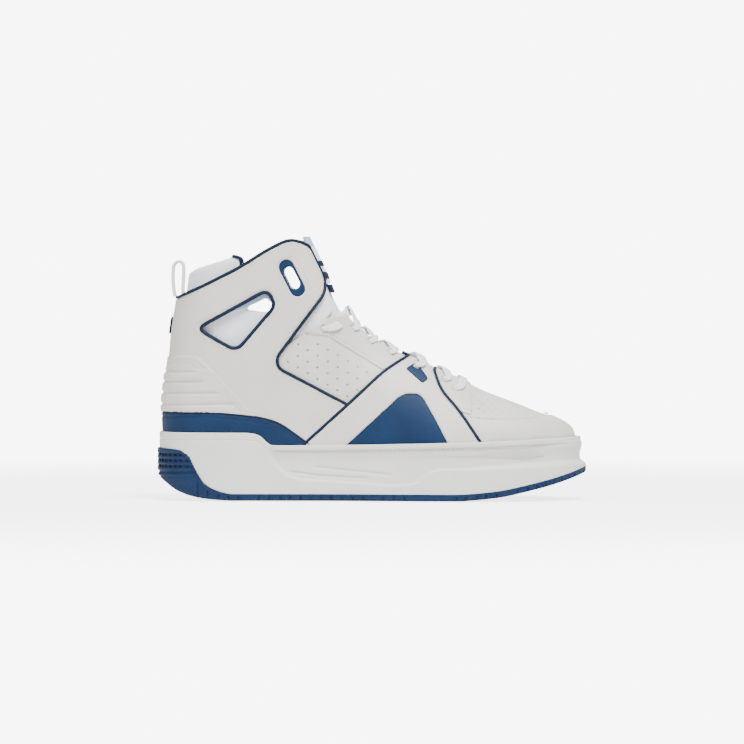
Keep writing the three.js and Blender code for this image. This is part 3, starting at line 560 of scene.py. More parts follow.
def woven(name, dark, light, thread):
    # flat-woven cotton tape on its own UV: over and under threads, as wide as the real ones
    material, tree, shader, place = startMaterial(name, 0.8, Sheen_Weight=0.2)
    spot = place.outputs["UV"]
    ways = []
    for turn in (math.radians(40), math.radians(-40)):
        mapped = addNode(tree, "ShaderNodeMapping", {"Vector": spot, "Rotation": (0, 0, turn)})
        ways.append(addNode(tree, "ShaderNodeTexWave", {
            "Vector": mapped.outputs["Vector"], "Scale": mmEach / thread / 3.14, "Distortion": 0.0,
        }))
    both = addNode(tree, "ShaderNodeMath", {
        0: ways[0].outputs["Fac"], 1: ways[1].outputs["Fac"],
    }, operation="MULTIPLY")
    tinted(tree, shader, both.outputs["Value"], dark, light)
    bump = addNode(tree, "ShaderNodeBump", {"Height": both.outputs["Value"], "Strength": 0.5, "Distance": 0.25 * mm})
    tree.links.new(bump.outputs["Normal"], shader.inputs["Normal"])
    return material


finish = {
    "whiteLeather": leather("white smooth leather", "#d6d2c8", "#dedbd2", 0.5),
    "blueLeather": leather("blue coated leather", "#062444", "#082a4e", 0.55, shine=0.22),
    "navyBinding": leather("navy edge binding", "#04182e", "#061e38", 0.55, grain=0.9, shine=0.22),
    "textile": knit("white brushed lining", "#eeeff8", "#f8f8fd", 1.4),
    "paleBlue": knit("pale blue lining", "#9db9d6", "#adc6de", 1.4),
    "lace": woven("white woven lace", "#f2f2f0", "#fdfdfb", 1.0),
    "webbing": woven("white woven webbing", "#eeeeea", "#fafaf8", 1.2),
    "whiteRubber": rubber("white moulded rubber", "#dfdeda", "#e4e3df", 0.5),
    "blueRubber": rubber("blue moulded rubber", "#062142", "#08284b", 0.6, shine=0.25),
    "darkRubber": rubber("dark blue moulded rubber", "#041426", "#071a30", 0.6, shine=0.22),
    # the thread's grey is partly its own off-white and partly painted shade: it is kept darker than the leather so the
    # seams read as shaded lines
    "threadWithPaintedSeamShade": knit("white bonded thread with painted seam shade", "#c4c1b8", "#d2cfc7", 0.5, 0.1),
    "foam": rubber("cream cushioning foam", "#dcd7c8", "#e4e0d4", 0.9),
    "board": knit("tan fibre board", "#bdb197", "#cabfa5", 0.8, 0.1),
    "stiffener": rubber("pressed stiffener sheet", "#aba595", "#b8b2a2", 0.7),
}


def hold(piece, material, body="shoe", nodes=(), blend=None):
    piece.data.materials.clear()
    piece.data.materials.append(finish[material])
    if nodes:
        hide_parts(*nodes)
    if blend:
        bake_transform(piece)
    else:
        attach(piece, body)
    return piece


# outlines in side view: x, z and a corner radius

past, below = 170, 20
collarTop = [(-past, 138), (-139, 141), (-117, 150.8, 8), (-92, 163.5, 8), (-72, 176.3, 8), (-57, 183.5, 10)]
collarFront = [
    (-43, 178, 8), (-34, 157, 10), (-34, 146, 8), (-55.7, 117.2), (-68, 100.5, 7), (-66.5, 92.5, 6), (-17, 66.4),
]
saddleRear = [(-68.4, below), (-17, 66.4), (9.4, 90.8, 8), (22, 98.6, 6), (29.9, 103, 4), (36, 103, 4)]
saddleFront = [(42.6, 92.5, 6), (47.4, 77.6, 8), (58, 65.8, 8), (64.4, 57.2), (89.1, below)]
outlines = {
    "collar": rounded([*collarTop, *collarFront, (-68.4, below), (-past, below)]),
    "collarEdge": rounded([*collarTop, *collarFront], closed=False),
    "saddle": rounded([*saddleRear, *saddleFront]),
    "inset": rounded([(-38.6, below), (21.5, 75.4, 6), (34, 75.4, 5), (43.3, 59.3), (50.4, 45.8), (63, below)]),
    "window": rounded([(-124.5, 121, 8), (-95, 104, 8), (-66.5, 137.5, 8), (-73.5, 149.3, 9)]),
    "windowGap": rounded([(-92, 134.2, 2), (-74, 132.2, 2), (-69.4, 137.4, 2), (-74.2, 142.6, 2)]),
    "heelPanelTop": rounded([(-past, 101), (-144, 101), (-124, 102.4, 8), (-116, 96, 8), (-82, 58.9)], False),
    "foxingTop": rounded([(-past, 62.4), (-112, 61.7), (-82, 58.9, 20), (-66, 55, 14), (-45, 40), (-24, below)], False),
    "seamEyestay": rounded([
        (-47, 118.5), (-41, 116.3, 4), (-31, 115.8, 6), (-24, 111, 6), (8.4, 91.4, 10), (30, 77), (52, 65.5, 6),
        (64.5, 62, 2), (70, 60),
    ], False),
    "quarterTop": rounded([(-59.4, 109.8), (-48.5, 116.4), (-36.3, 124.4, 6), (-28.9, 128.4, 5), (-12, 130)], False),
    "mudguardTop": rounded([
        (58, 66), (66, 59.4, 4), (80.5, 57.7), (98, 57.2, 20), (110, 57.2), (127, 59.6, 10), (past, 62),
    ], False),
    "saddleTab": rounded([(23.5, 93, 2), (31.5, 97.5, 2), (40, 85.5, 2), (35.5, 82.5, 2)]),
    "pad": rounded([
        (-past, 112), (-past, 150), (-138, 151.5, 4), (-127, 162.5, 8), (-95.5, 172.5, 6), (-90.5, 165, 4), (-90, 112),
    ]),
    "tongue": rounded([
        (100, 60), (100, 110), (0, 160), (-33.5, 190), (-37, 185.5, 3), (-62, 181, 6), (-52, 150), (-37, 116),
        (-2, 83), (60, 56),
    ]),
}
eyelets = [(58.5, 76.8), (50.6, 83), (30.5, 91.2), (12.5, 102), (-1.8, 110.2), (-14.5, 119.8), (-34.5, 120.4)]
saddleEyelet = 2


def stadium(a, b, radius, steps=12):
    a, b = np.array(a, float), np.array(b, float)
    heading = math.atan2(*(b - a)[::-1])
    out = []
    for centre, start in ((b, heading - math.pi / 2), (a, heading + math.pi / 2)):
        for angle in start + np.linspace(0, math.pi, steps):
            out.append(centre + radius * np.array([math.cos(angle), math.sin(angle)]))
    return np.array(out)


slotEnds = ((-60.2, 164.2), (-52.4, 148.8))
slotHoleEnds = ((-58.7, 160.8), (-54.4, 152.4))
slotOutline = stadium(*slotEnds, 5.3)
slotHole = stadium(*slotHoleEnds, 3.7)

# the opening over the instep, seen from above
throatHalf = 11.5


def throatOutline(extra):
    w, end = throatHalf + extra, 66 + extra
    return rounded([
        (end, 2, 4), (end - 4, 2 + w * 0.8, 5), (40, 1.5 + w * 1.1, 10), (10, w * 0.9, 12), (-8, w * 0.95, 10),
        (-26, w * 1.5, 10), (-90, w * 1.8), (-90, -w * 1.8), (-26, -w * 1.5, 10), (-8, -w * 0.95, 10),
        (10, -w * 0.9, 12), (40, 1.5 - w * 1.1, 10), (end - 4, 2 - w * 0.8, 5),
    ])


aboveInstep = np.array([(-70, 240), (-70, 118), (-30, 90), (80, 60), (100, 240)], float)


def throatBlock(extra=0.0):
    return cut(planBlock("throat", throatOutline(extra), 72, 210), sideBlock(aboveInstep), "INTERSECT")


def wingGap():
    half = last["wingHalf"] - 0.4
    return extrudedBlock("wingGap", np.array([(-75, 128), (20, 128), (20, 210), (-75, 210)], float), -half, half)


leaning = (0.3, 0.2, 1.0)  # along no normal of the last
eyeletPeg = {"radius": 2.6, "reach": 8}


def eyeletBlock(side):
    pegs = []
    for x, z in eyelets:
        spot, normal = onLast([x], [z], side)
        path = spot + normal * [[-eyeletPeg["reach"]], [eyeletPeg["reach"]]]
        across = np.cross(normal, [leaning])[[0, 0]]
        pegs.append(sweep("peg", path, across, eyeletPeg["radius"], eyeletPeg["radius"], 16))
    return joinAll("pegs", pegs)


# upper

seam = {"edge": 2.2, "second": 4.6}
punch = {"radius": 0.72, "depth": 3.2, "height": 1.4}
upper = {
    "base": (-0.7, 1.6), "eyestay": (-0.7, 2.5), "collar": (0.2, 3.3), "saddle": (1.2, 4.0), "inset": (0.6, 2.9),
    "heelPanel": (1.4, 4.0), "foxing": (1.4, 3.9), "mudguard": (0.2, 3.2), "badge": (2.6, 4.7),
    "lining": (-3.1, -1.2), "windowBand": (-1.4, -0.2), "slotTrim": (0.6, 2.5),
}


def perforations(side, spots):
    # short pegs across the leather, to punch its holes
    spot, normal = onLast(spots[:, 0], spots[:, 1], side, punch["height"])
    bpy.ops.mesh.primitive_cylinder_add(vertices=8, radius=punch["radius"], depth=punch["depth"], end_fill_type="NGON")
    pegShape = templateFrom((1, 1, 1))
    return outwards(scatter("holes", spot, np.cross(normal, leaning), normal, pegShape))


def insidePolygon(points, polygon):
    x, y = points[:, 0][:, None], points[:, 1][:, None]
    x0, y0 = polygon[:, 0], polygon[:, 1]
    x1, y1 = np.roll(x0, -1), np.roll(y0, -1)
    crosses = ((y0 > y) != (y1 > y)) & (x < (x1 - x0) * (y - y0) / np.where(y1 == y0, 1e-9, y1 - y0) + x0)
    return crosses.sum(1) % 2 == 1


def distanceTo(points, line, closed=False):
    a = line if closed else line[:-1]
    b = np.roll(line, -1, 0) if closed else line[1:]
    best = np.full(len(points), 1e9)
    for p, q in zip(a, b):
        d = q - p
        t = np.clip(((points - p) @ d) / max(d @ d, 1e-9), 0, 1)
        best = np.minimum(best, np.linalg.norm(points - p - t[:, None] * d, axis=1))
    return best


def staggered(region, start, columns, rows, pitch, margin):
    # a brickwork of places, kept where they lie well inside the region
    row, column = np.mgrid[:rows, :columns]
    across = start[0] + pitch[0] * (column + row % 2 / 2)
    spots = np.stack([across.ravel(), (start[1] - pitch[1] * row).ravel()], -1)
    keep = insidePolygon(spots, region) & (distanceTo(spots, region, True) > margin)
    return spots[keep]


quarterField = rounded([
    (-68, 100.5), (-59.4, 109.8), (-48.5, 116.4), (-41, 116), (-24, 111), (8.4, 91.4), (9.4, 90.8), (-17, 66.4),
    (-66.5, 92.5),
])
vampField = rounded([(66, 60), (66, 82), (80, 75), (97, 69), (112, 63), (122, 59.5), (98, 58.6), (80, 59.2)])
quarterSpots = staggered(quarterField, (-80, 118), 10, 16, (13.9, 4.07), 3.0)
vampSpots = staggered(vampField, (62, 80), 12, 9, (6.4, 2.7), 1.7)


def moveAlong(piece, change):
    # moves vertices along their own normals; change gets side-view places in millimetres
    mesh = piece.data
    count = len(mesh.vertices)
    co, normal = np.zeros(count * 3), np.zeros(count * 3)
    mesh.vertices.foreach_get("co", co)
    mesh.vertices.foreach_get("normal", normal)
    co, normal = co.reshape(-1, 3), normal.reshape(-1, 3)
    co += normal * (change(co / mm, normal) * mm)[:, None]
    mesh.vertices.foreach_set("co", co.ravel())
    mesh.update()


def outerOnly(co, normal):
    # 1 on the face that looks out of the shoe, 0 on the face that looks in
    centre = np.stack([np.clip(co[:, 0], -105, 90), np.full(len(co), yShift), np.full(len(co), 20)], -1)
    away = co - centre
    return (np.sum(away * normal, 1) > 0).astype(float)


ribs = {"heights": [(90.6, -122), (83.6, -117), (75.6, -106), (67.6, -94)], "depth": 1.3, "width": 1.1, "puff": 0.7}


def ribbed(co, normal):
    x, z = co[:, 0], co[:, 2]
    change = np.zeros(len(co))
    for height, end in ribs["heights"]:
        fade = smoothStep((end - x) / 6)
        change -= ribs["depth"] * fade * np.exp(-((z - height) / ribs["width"]) ** 2)
    between = smoothStep((-100 - x) / 18) * (z < 92)
    change += ribs["puff"] * between
    return change * outerOnly(co, normal)


def aboveFoxing(line):
    line = evenly(line[1:], 1.0)
    return line[line[:, 1] > 62.5]


quarterOutline = np.vstack([
    [(-78, below), (-78, 104), (-68, 112)], outlines["quarterTop"], [(66, 130), (66, below)],
])[::-1]
stayOutline = np.vstack([outlines["seamEyestay"], rounded([
    (70, 150), (-12, 150), (-12, 131), (-28.9, 129.5, 5), (-36.3, 125.4, 6), (-47, 119.6),
], False)])
liningOutline = np.vstack([
    rounded([(-past, 134), (-138, 136.5), *collarTop[2:]], False) - [0, 1.2],
    [(-44, 178), (-35.5, 157), (-34, 146), (-27, 134), (-38, 118)],
    shiftLine(outlines["seamEyestay"], -1.5)[:-4], [(63.6, 58), (63.6, below), (-past, below)],
])
bandOutline = rounded([
    (-106, 133.5), (-73.5, 152), (-64, 146), (-68, 139.5), (-74.2, 142.4, 3), (-91, 134.6, 4), (-103, 131.5),
])
# height above the last, and radius
piping = {"window": (2.5, 1.35), "collar": (2.7, 1.15), "saddle": (3.0, 1.2), "foxing": (3.3, 0.75)}
saddlePipings = {  # the edge, how far it keeps from the middle, and where it goes into the rim
    "rear": (saddleRear, throatHalf * 0.8, 37), "front": (saddleFront, throatHalf * 1.1, 39.5),
}

for side in sides:
    quarter = panel(f"quarter-{side}", upper["base"], quarterOutline, side, [throatBlock()], 0.9)
    cut(quarter, perforations(side, quarterSpots))
    hold(quarter, "whiteLeather", nodes=[f"quarter_{side}"])

    stayCuts = [throatBlock(), eyeletBlock(side)]
    eyestay = panel(f"eyestay-{side}", upper["eyestay"], stayOutline, side, stayCuts, 0.8, 3)
    hold(eyestay, "whiteLeather", nodes=[f"eyestay_{side}"])

    liningCuts = [sideBlock(outlines["windowGap"], side), sideBlock(stadium(*slotHoleEnds, 4.0), side), wingGap()]
    lining = panel(f"lining-{side}", upper["lining"], liningOutline, side, liningCuts, 1.2, 2)
    hold(lining, "textile", nodes=[f"lining_{side}"])
    bandCuts = [sideBlock(outlines["windowGap"], side)]
    paleBand = panel(f"window-band-{side}", upper["windowBand"], bandOutline, side, bandCuts, 0.7, 2)
    hold(paleBand, "paleBlue")

    collar = panel(f"collar-{side}", upper["collar"], outlines["collar"], side, [
        sideBlock(outlines["window"], side), sideBlock(slotOutline, side), wingGap(),
    ])
    hold(collar, "whiteLeather", nodes=[f"collar_{side}"])

    windowEdge = shiftLine(outlines["window"], 0.8, True)
    windowTrim = pipingOn(f"window-trim-{side}", windowEdge, side, *piping["window"], closed=True)
    hold(windowTrim, "navyBinding", nodes=[f"window_trim_{side}"])
    slotCuts = [sideBlock(slotHole, side)]
    slotTrim = panel(f"slot-trim-{side}", upper["slotTrim"], stadium(*slotEnds, 5.8), side, slotCuts, 0.6, 2)
    hold(slotTrim, "blueLeather", nodes=[f"slot_trim_{side}"])

    saddleCuts = [sideBlock(outlines["inset"], side), throatBlock(), eyeletBlock(side)]
    saddle = panel(f"saddle-{side}", upper["saddle"], outlines["saddle"], side, saddleCuts)
    hold(saddle, "whiteLeather", nodes=[f"saddle_{side}"])
    inset = panel(f"saddle-inset-{side}", upper["inset"], shiftLine(outlines["inset"], 3, True), side, (), 0.9)
    hold(inset, "blueLeather", nodes=[f"saddle_inset_{side}"])
    tabCuts = [throatBlock(0.8), eyeletBlock(side)]
    saddleTab = panel(f"saddle-tab-{side}", upper["badge"], outlines["saddleTab"], side, tabCuts, 0.6, 3)
    hold(saddleTab, "blueLeather", nodes=[f"saddle_tab_{side}"])

    collarRun = shiftLine(outlines["collarEdge"], 0.9)[1:]
    collarPiping = pipingOn(f"collar-piping-{side}", collarRun, side, *piping["collar"], last["wingHalf"] - 0.2)
    hold(collarPiping, "navyBinding", nodes=[f"collar_piping_{side}"])
    for end, (edge, clear, low) in saddlePipings.items():
        line = evenly(shiftLine(rounded(edge, False), 0.9), 1.0)
        run = pipingOn(f"saddle-piping-{end}-{side}", line[line[:, 1] > low], side, *piping["saddle"], clear)
        hold(run, "navyBinding", nodes=[f"saddle_piping_{end}_{side}"])

    rows = {
        "collar-edge": (shiftLine(outlines["collarEdge"], -seam["edge"])[1:], 3.3, last["wingHalf"] + 1.5),
        "window": (shiftLine(np.vstack([outlines["window"], outlines["window"][:1]]), -seam["edge"]), 3.3, 0),
        "slot": (shiftLine(np.vstack([slotOutline, slotOutline[:1]]), -seam["edge"]), 3.3, 0),
        "saddle-rear": (shiftLine(rounded(saddleRear, False), -seam["edge"])[2:-6], 4.0, 0),
        "saddle-front": (shiftLine(rounded(saddleFront, False), -seam["edge"])[:-1], 4.0, 0),
        "eyestay": (shiftLine(outlines["seamEyestay"], 1.6), 2.5, 0),
        "quarter-top": (shiftLine(outlines["quarterTop"], -1.6)[:-2], 1.6, 0),
        "mudguard": (shiftLine(outlines["mudguardTop"], -1.6)[3:-1], 3.2, 0),
        "heel-panel": (aboveFoxing(shiftLine(outlines["heelPanelTop"], -1.8)), 4.0, 0),
        "heel-panel-second": (aboveFoxing(shiftLine(outlines["heelPanelTop"], -seam["second"])), 4.0, 0),
    }
    line = evenly(shiftLine(outlines["foxingTop"], 0.3), 1.0)
    foxingEdge = pipingOn(f"foxing-edge-{side}", line[line[:, 1] > 38], side, *piping["foxing"])
    hold(foxingEdge, "navyBinding")

    stitches = [
        stitchesAlong(f"stitches-{name}", line, side, height, clear)
        for name, (line, height, clear) in rows.items()
    ]
    hold(joinAll(f"stitching-{side}", stitches), "threadWithPaintedSeamShade")
    print("upper done:", side)


def besideStrip(low, high, half):
    # the blocks on both sides of a strip down the middle of the shoe, to trim a piece to it
    box = np.array([low, (high[0], low[1]), high, (low[0], high[1])], float)
    return [extrudedBlock("trim", box, *span) for span in ((half, 60), (-60, -half))]


vampOutline = np.array([(62.5, below), (62.8, 62), (66, 79), (66, 100), (past, 100), (past, below)], float)
vamp = panel("vamp", upper["base"], vampOutline, "both", [throatBlock()])
for side in sides:
    cut(vamp, perforations(side, vampSpots))
hold(vamp, "whiteLeather", nodes=["vamp"])
foreLining = panel("lining-forefoot", upper["lining"], vampOutline, "both", [throatBlock(1)], 1.4, 2)
hold(foreLining, "textile", nodes=["lining_forefoot"])
mudguardOutline = np.vstack([outlines["mudguardTop"], [(past, below), (88, below), (63.5, 57.2)]])
mudguard = panel("mudguard", upper["mudguard"], mudguardOutline)
hold(mudguard, "whiteLeather", nodes=["mudguard"])

foxingHeel = outlines["foxingTop"][outlines["foxingTop"][:, 0] < -81.9]
heelPanelOutline = np.vstack([outlines["heelPanelTop"], foxingHeel[::-1] + [0, 0.2]])
heelPanel = panel("heel-panel", upper["heelPanel"], heelPanelOutline, "both", (), 0.8)
moveAlong(heelPanel, ribbed)
hold(heelPanel, "whiteLeather", nodes=["heel_panel"])
foxing = panel("heel-foxing", upper["foxing"], np.vstack([outlines["foxingTop"], [(-past, below)]]))
moveAlong(foxing, lambda co, normal: -0.6 * outerOnly(co, normal) * np.exp(
    -((distanceTo(co[:, [0, 2]], shiftLine(outlines["foxingTop"], -3)) / 0.6) ** 2)))
hold(foxing, "blueLeather", nodes=["heel_foxing"])
badgeOutline = np.array([(-120, 117), (-120, 129), (-past, 129), (-past, 117)], float)
badge = panel("heel-badge", upper["badge"], badgeOutline, "both", besideStrip((-160, 100), (-110, 140), 4), 0.6)
hold(badge, "navyBinding", nodes=["heel_badge"])
print("vamp, mudguard and heel done")


# lace: one flat length, criss-crossed through the eyelets; it takes the CAD lace's place

lace = {"halfWidth": 3.1, "holeHalfWidth": 1.7, "halfThick": 0.65, "under": -1.7, "over": 3.3, "lift": 1.2, "bend": 2.4}


def onFront(z, y, height):
    near, far = 0.5, 0.2 if y < middleLine(frontAt(z)) else 0.8
    sign = -1 if far < 0.5 else 1
    for _ in range(30):
        turn = (near + far) / 2
        inside = (lastPoint(turn, z)[1] - y) * sign < 0
        near, far = (turn, far) if inside else (near, turn)
    return lastPoint(near, z) + lastNormal(near, z) * height


def eyeletY(k, lateral):
    x, z = eyelets[k]
    return float(onLast([x], [z], "lateral" if lateral else "medial")[0][0][1])


def laceHalf(first):
    # points, and the half width there
    x, z = eyelets[0]
    route = [(onFront(z + 4, middleLine(x), lace["under"]), lace["halfWidth"])]
    for k, (x, z) in enumerate(eyelets):
        lateral = (k % 2 == 0) == (first == "lateral")
        sign = -1 if lateral else 1
        y = eyeletY(k, lateral)
        over = (upper["badge"][1] if k == saddleEyelet else upper["eyestay"][1]) + lace["lift"]
        route.append((onFront(z + 0.6, y - sign * lace["bend"], lace["under"]), 2.2))
        route.append((onFront(z, y + sign * 0.2, 0.2), lace["holeHalfWidth"]))
        route.append((onFront(z, y + sign * 0.2, over - 1.0), lace["holeHalfWidth"]))
        route.append((onFront(z + 0.6, y - sign * lace["bend"], over + 0.3), 2.6))
        if k == len(eyelets) - 1:
            route.append((onFront(z + 2.5, y - sign * 6, over - 0.5), lace["halfWidth"]))
            route.append((onFront(z + 4, y - sign * 11, lace["under"]), lace["halfWidth"]))
            return route
        nextX, nextZ = eyelets[k + 1]
        nextY = eyeletY(k + 1, not lateral)
        crossX = (x + nextX) / 2
        crossZ = ((z + nextZ) / 2 + float(ridgeAt(crossX))) / 2
        middle = float(middleLine(crossX))
        edge = throatHalf * 0.74

        def rise(fromZ, fromY):
            return crossZ + (fromZ - crossZ) * min(edge / abs(fromY - middle), 1) ** 1.5

        route.append((onFront(rise(z, y), middle + sign * edge, over), lace["halfWidth"]))
        route.append((onFront(crossZ, middle, 2.4 if lateral else 0.2), lace["halfWidth"]))
        route.append((onFront(rise(nextZ, nextY), middle - sign * edge, -0.6), lace["halfWidth"]))
    return route


laceRoute = laceHalf("medial")[1:][::-1] + laceHalf("lateral")
lacePath = smoothPath([np.append(p, w) for p, w in laceRoute], 0.9)
lacePoints = lacePath[:, :3]
slope = (frontAt(lacePoints[:, 2] + 4) - frontAt(lacePoints[:, 2] - 4)) / 8
alongInstep = np.stack([slope, np.zeros(len(slope)), np.ones(len(slope))], -1)
laceTape = sweep("lace", lacePoints, alongInstep, lacePath[:, 3], lace["halfThick"], 14, 3.0)
hold(laceTape, "lace", nodes=["lace"])
print("lace done")


# padded pieces

cover = {"stretch": 40, "bend": 2, "quality": 5, "frames": 16}


def puffUp(piece, foam):
    # foam pushes the cover out; no point moves further than the cap
    skin = piece.modifiers.new("skin", "REMESH")
    skin.mode = "VOXEL"
    skin.voxel_size = foam["voxel"] * mm
    skin.use_smooth_shade = True
    applyModifiers(piece)
    before = np.array([v.co for v in piece.data.vertices])
    bpy.context.scene.frame_set(1)
    cloth = piece.modifiers.new("cover", "CLOTH")
    cloth.settings.use_pressure = True
    cloth.settings.uniform_pressure_force = foam["pressure"]
    cloth.settings.tension_stiffness = cover["stretch"]
    cloth.settings.compression_stiffness = cover["stretch"]
    cloth.settings.bending_stiffness = cover["bend"]
    cloth.settings.quality = cover["quality"]
    cloth.settings.effector_weights.gravity = 0
    cloth.point_cache.frame_start = 1
    cloth.point_cache.frame_end = cover["frames"]
    for step in range(1, cover["frames"] + 1):
        bpy.context.scene.frame_set(step)
    applyModifiers(piece)
    bpy.context.scene.frame_set(1)
    after = np.array([v.co for v in piece.data.vertices])
    move = after - before
    far = np.linalg.norm(move, axis=1, keepdims=True)
    move *= np.minimum(1, foam["cap"] * mm / np.maximum(far, 1e-9))
    piece.data.vertices.foreach_set("co", (before + move).ravel())
    piece.data.update()
    smooth = piece.modifiers.new("ease", "SMOOTH")
    smooth.factor = 0.5
    smooth.iterations = 4
    fine = piece.modifiers.new("fine", "SUBSURF")
    fine.levels = fine.render_levels = 1
    applyModifiers(piece)
    return piece


padFoam = {"wall": (-8.0, -3.6), "voxel": 1.8, "pressure": 3.0, "cap": 1.6, "binding": (-4.4, 1.0)}
pad = lastShell(*padFoam["wall"])
pad.name = pad.data.name = "collar-pad"
cut(pad, sideBlock(outlines["pad"]), "INTERSECT")
puffUp(pad, padFoam)
hold(pad, "textile", nodes=["collar_pad"])
padEdge = rounded([(-98.5, 172.2), (-92.4, 170.6, 3), (-92.2, 165, 3), (-96, 157)], False)
for side in sides:
    binding = pipingOn(f"pad-binding-{side}", padEdge, side, *padFoam["binding"])
    hold(binding, "navyBinding")

tongueFoam = {"wall": (-8.7, -4.2), "voxel": 1.6, "pressure": 3.0, "cap": 1.3, "topHalf": 19, "half": 23}
topHalf, half = tongueFoam["topHalf"], tongueFoam["half"]
tonguePlan = rounded([
    (-110, topHalf), (-110, -topHalf), (-20, -topHalf, 10), (20, -half, 10), (76, -16, 6), (76, 16, 6),
    (20, half, 10), (-20, topHalf, 10),
])
tongue = lastShell(*tongueFoam["wall"])
tongue.name = tongue.data.name = "tongue"
tongueBlock = planBlock("tongueBlock", tonguePlan, 50, 196)
lowFlank = extrudedBlock("flank", np.array([(-62, 90), (0, 90), (0, 132), (-62, 132)], float), -29, 29)
cut(tongueBlock, lowFlank, "UNION")
cut(tongueBlock, sideBlock(outlines["tongue"]), "INTERSECT")
cut(tongue, tongueBlock, "INTERSECT")
puffUp(tongue, tongueFoam)
foldStart, foldEnd = (-0.045, yShift * mm, 0.130), (-0.040, yShift * mm, 0.150)
hold(tongue, "textile", "tongue", ["tongue_base", "tongue_top"], (foldStart, foldEnd))

# a patch with plain bars on the tongue's front, and a pale corner above them
front = {
    "patch": {"wall": (-3.6, -2.0), "half": 13}, "bars": {"wall": (-3.2, -1.5), "half": 12},
    "corner": {"wall": (-3.7, -2.2), "half": 14}, "barHeights": [(146, 152), (156, 161), (165, 169)],
}


def behind(x):
    return sideBlock(np.array([(-170, 100), (x, 100), (x, 200), (-170, 200)], float))


def onTongue(name, part, outline, voxel, x, more=()):
    size = front[part]
    trims = besideStrip((-90, 120), (10, 200), size["half"]) + [behind(x), *more]
    return panel(name, size["wall"], outline, "both", trims, voxel)


def stripe(low, high):
    return np.array([(-80, high), (10, high), (10, low), (-80, low)], float)


patchOutline = rounded([(-10, 160), (-60, 142), (-60, 179), (-20, 179)])
patch = onTongue("tongue-patch", "patch", patchOutline, 0.6, -56)
bars = [onTongue(f"bar{k}", "bars", stripe(*heights), 0.6, -56) for k, heights in enumerate(front["barHeights"])]
hold(patch, "textile", "tongue", ["tongue_patch"])
hold(joinAll("tongue-bars", bars), "navyBinding", "tongue")
aboveCorner = sideBlock(np.array([(-170, 186), (10, 186), (10, 230), (-170, 230)], float))
corner = onTongue("tongue-corner", "corner", stripe(171, 190), 0.7, -58, [aboveCorner])
hold(corner, "paleBlue", "tongue")
print("tongue and pad done")

# pull tab: a loop of woven webbing
tab = {"halfWidth": 7, "halfThick": 1.15, "path": [
    (-133.6, 143.4), (-133.9, 150), (-133.4, 160), (-133.6, 165.5), (-135.4, 168), (-138.2, 167.8), (-140.4, 165),
    (-141, 158), (-140.6, 150), (-139.6, 143.4),
]}
tabPath = smoothPath([(x, 0, z) for x, z in tab["path"]], 0.8)
tabAcross = np.tile([0.0, 1.0, 0.0], (len(tabPath), 1))
loop = sweep("pull-tab", tabPath, tabAcross, tab["halfWidth"], tab["halfThick"], 16, 6.0)
hold(loop, "webbing", "tab", ["pull_tab"])


# sole

rimTop = smoothCurve([
    (-170, 48), (-90, 47.8), (-83, 47.2), (-78.5, 45.4), (-74, 41.4), (-70.5, 39.2), (-64, 39), (74, 41.6),
    (120, 43.5), (170, 45),
])
springAt = smoothCurve([(-100, 0), (57, 0), (85, 2), (112, 7.2), (139, 14.3), (170, 26)])
heelLift = smoothCurve([(-152, 18), (-149, 14.5), (-146, 12), (-137, 6.3), (-126, 2.8), (-113, 0.9), (-100, 0)])
outsoleThick = 4.8
midsole = {
    "recess": rounded([
        (-72, 80), (-71.5, 39), (-72.4, 32.8, 4), (-67, 23.7, 4), (-59.7, 17.4, 5), (-49, 14.6, 4), (-20, 13),
        (11.3, 10.9, 5), (30.4, 11.6, 4), (35.8, 17), (44, 21.7, 5), (90, 23.3), (151, 25.7), (200, 27.5), (200, 80),
    ]),
    "depth": 3.1, "toeDepth": 4.3, "lip": 3.7, "grooveDepth": 0.4, "heelGroove": 5.2, "heelGrooveDepth": 0.45,
    "slashes": [((-40, 24.0), (-20, 21.8), (12, 18.6)), ((-58, 20.6), (-38, 17.8), (-4, 15.9))],
    "slashDepth": 0.9, "slashWidth": 0.8, "seat": 2.6,
}


def groundLift(x):
    return np.where(x < -100, heelLift(x), springAt(x))


bumperTop = smoothCurve([
    (-152, 36.6), (-140, 36.0), (-135, 35.2), (-132, 33.2), (-129, 31.1), (-126, 25.1), (-121.6, 17.2), (-118, 12.2),
    (-111, 7.9), (-104, 5.6), (-98, 4.8),
])


def blueTop(x):
    return np.where(x < -98, np.maximum(bumperTop(x), groundLift(x) + outsoleThick), groundLift(x) + outsoleThick)


def wallRing(name, rows):
    # rows are (z, inset) arrays round the sole's outline, from the inside of the bottom to the inside of the top
    points = []
    for z, inset in rows:
        spot = ringPlan + ringInward * np.asarray(inset)[..., None] * np.ones((len(ringPlan), 1))
        points.append(np.column_stack([spot, np.broadcast_to(z, len(ringPlan))]))
    n, ring = len(points), len(ringPlan)
    at = np.arange(n * ring).reshape(n, ring)
    nextAt = np.roll(at, -1, 1)
    faces = np.stack([at[:-1], nextAt[:-1], nextAt[1:], at[1:]], -1).reshape(-1, 4).tolist()
    half = ring // 2
    for row, flip in ((0, True), (n - 1, False)):
        for i in range(half):
            a, b = at[row, i], at[row, i + 1]
            c, d = at[row, (ring - i - 1) % ring], at[row, (ring - i) % ring]
            quad = [a, b, c, d] if i else [a, b, c]
            quad = quad if i < half - 1 else [a, b, d]
            faces.append([int(v) for v in (quad[::-1] if flip else quad)])
    return outwards(makeMesh(name, np.concatenate(points), faces))


ringX = ringPlan[:, 0]
rimLip = 3.4 * smoothStep((ringX - 104) / 44) + 0.9 * smoothStep((-140 - ringX) / 10)


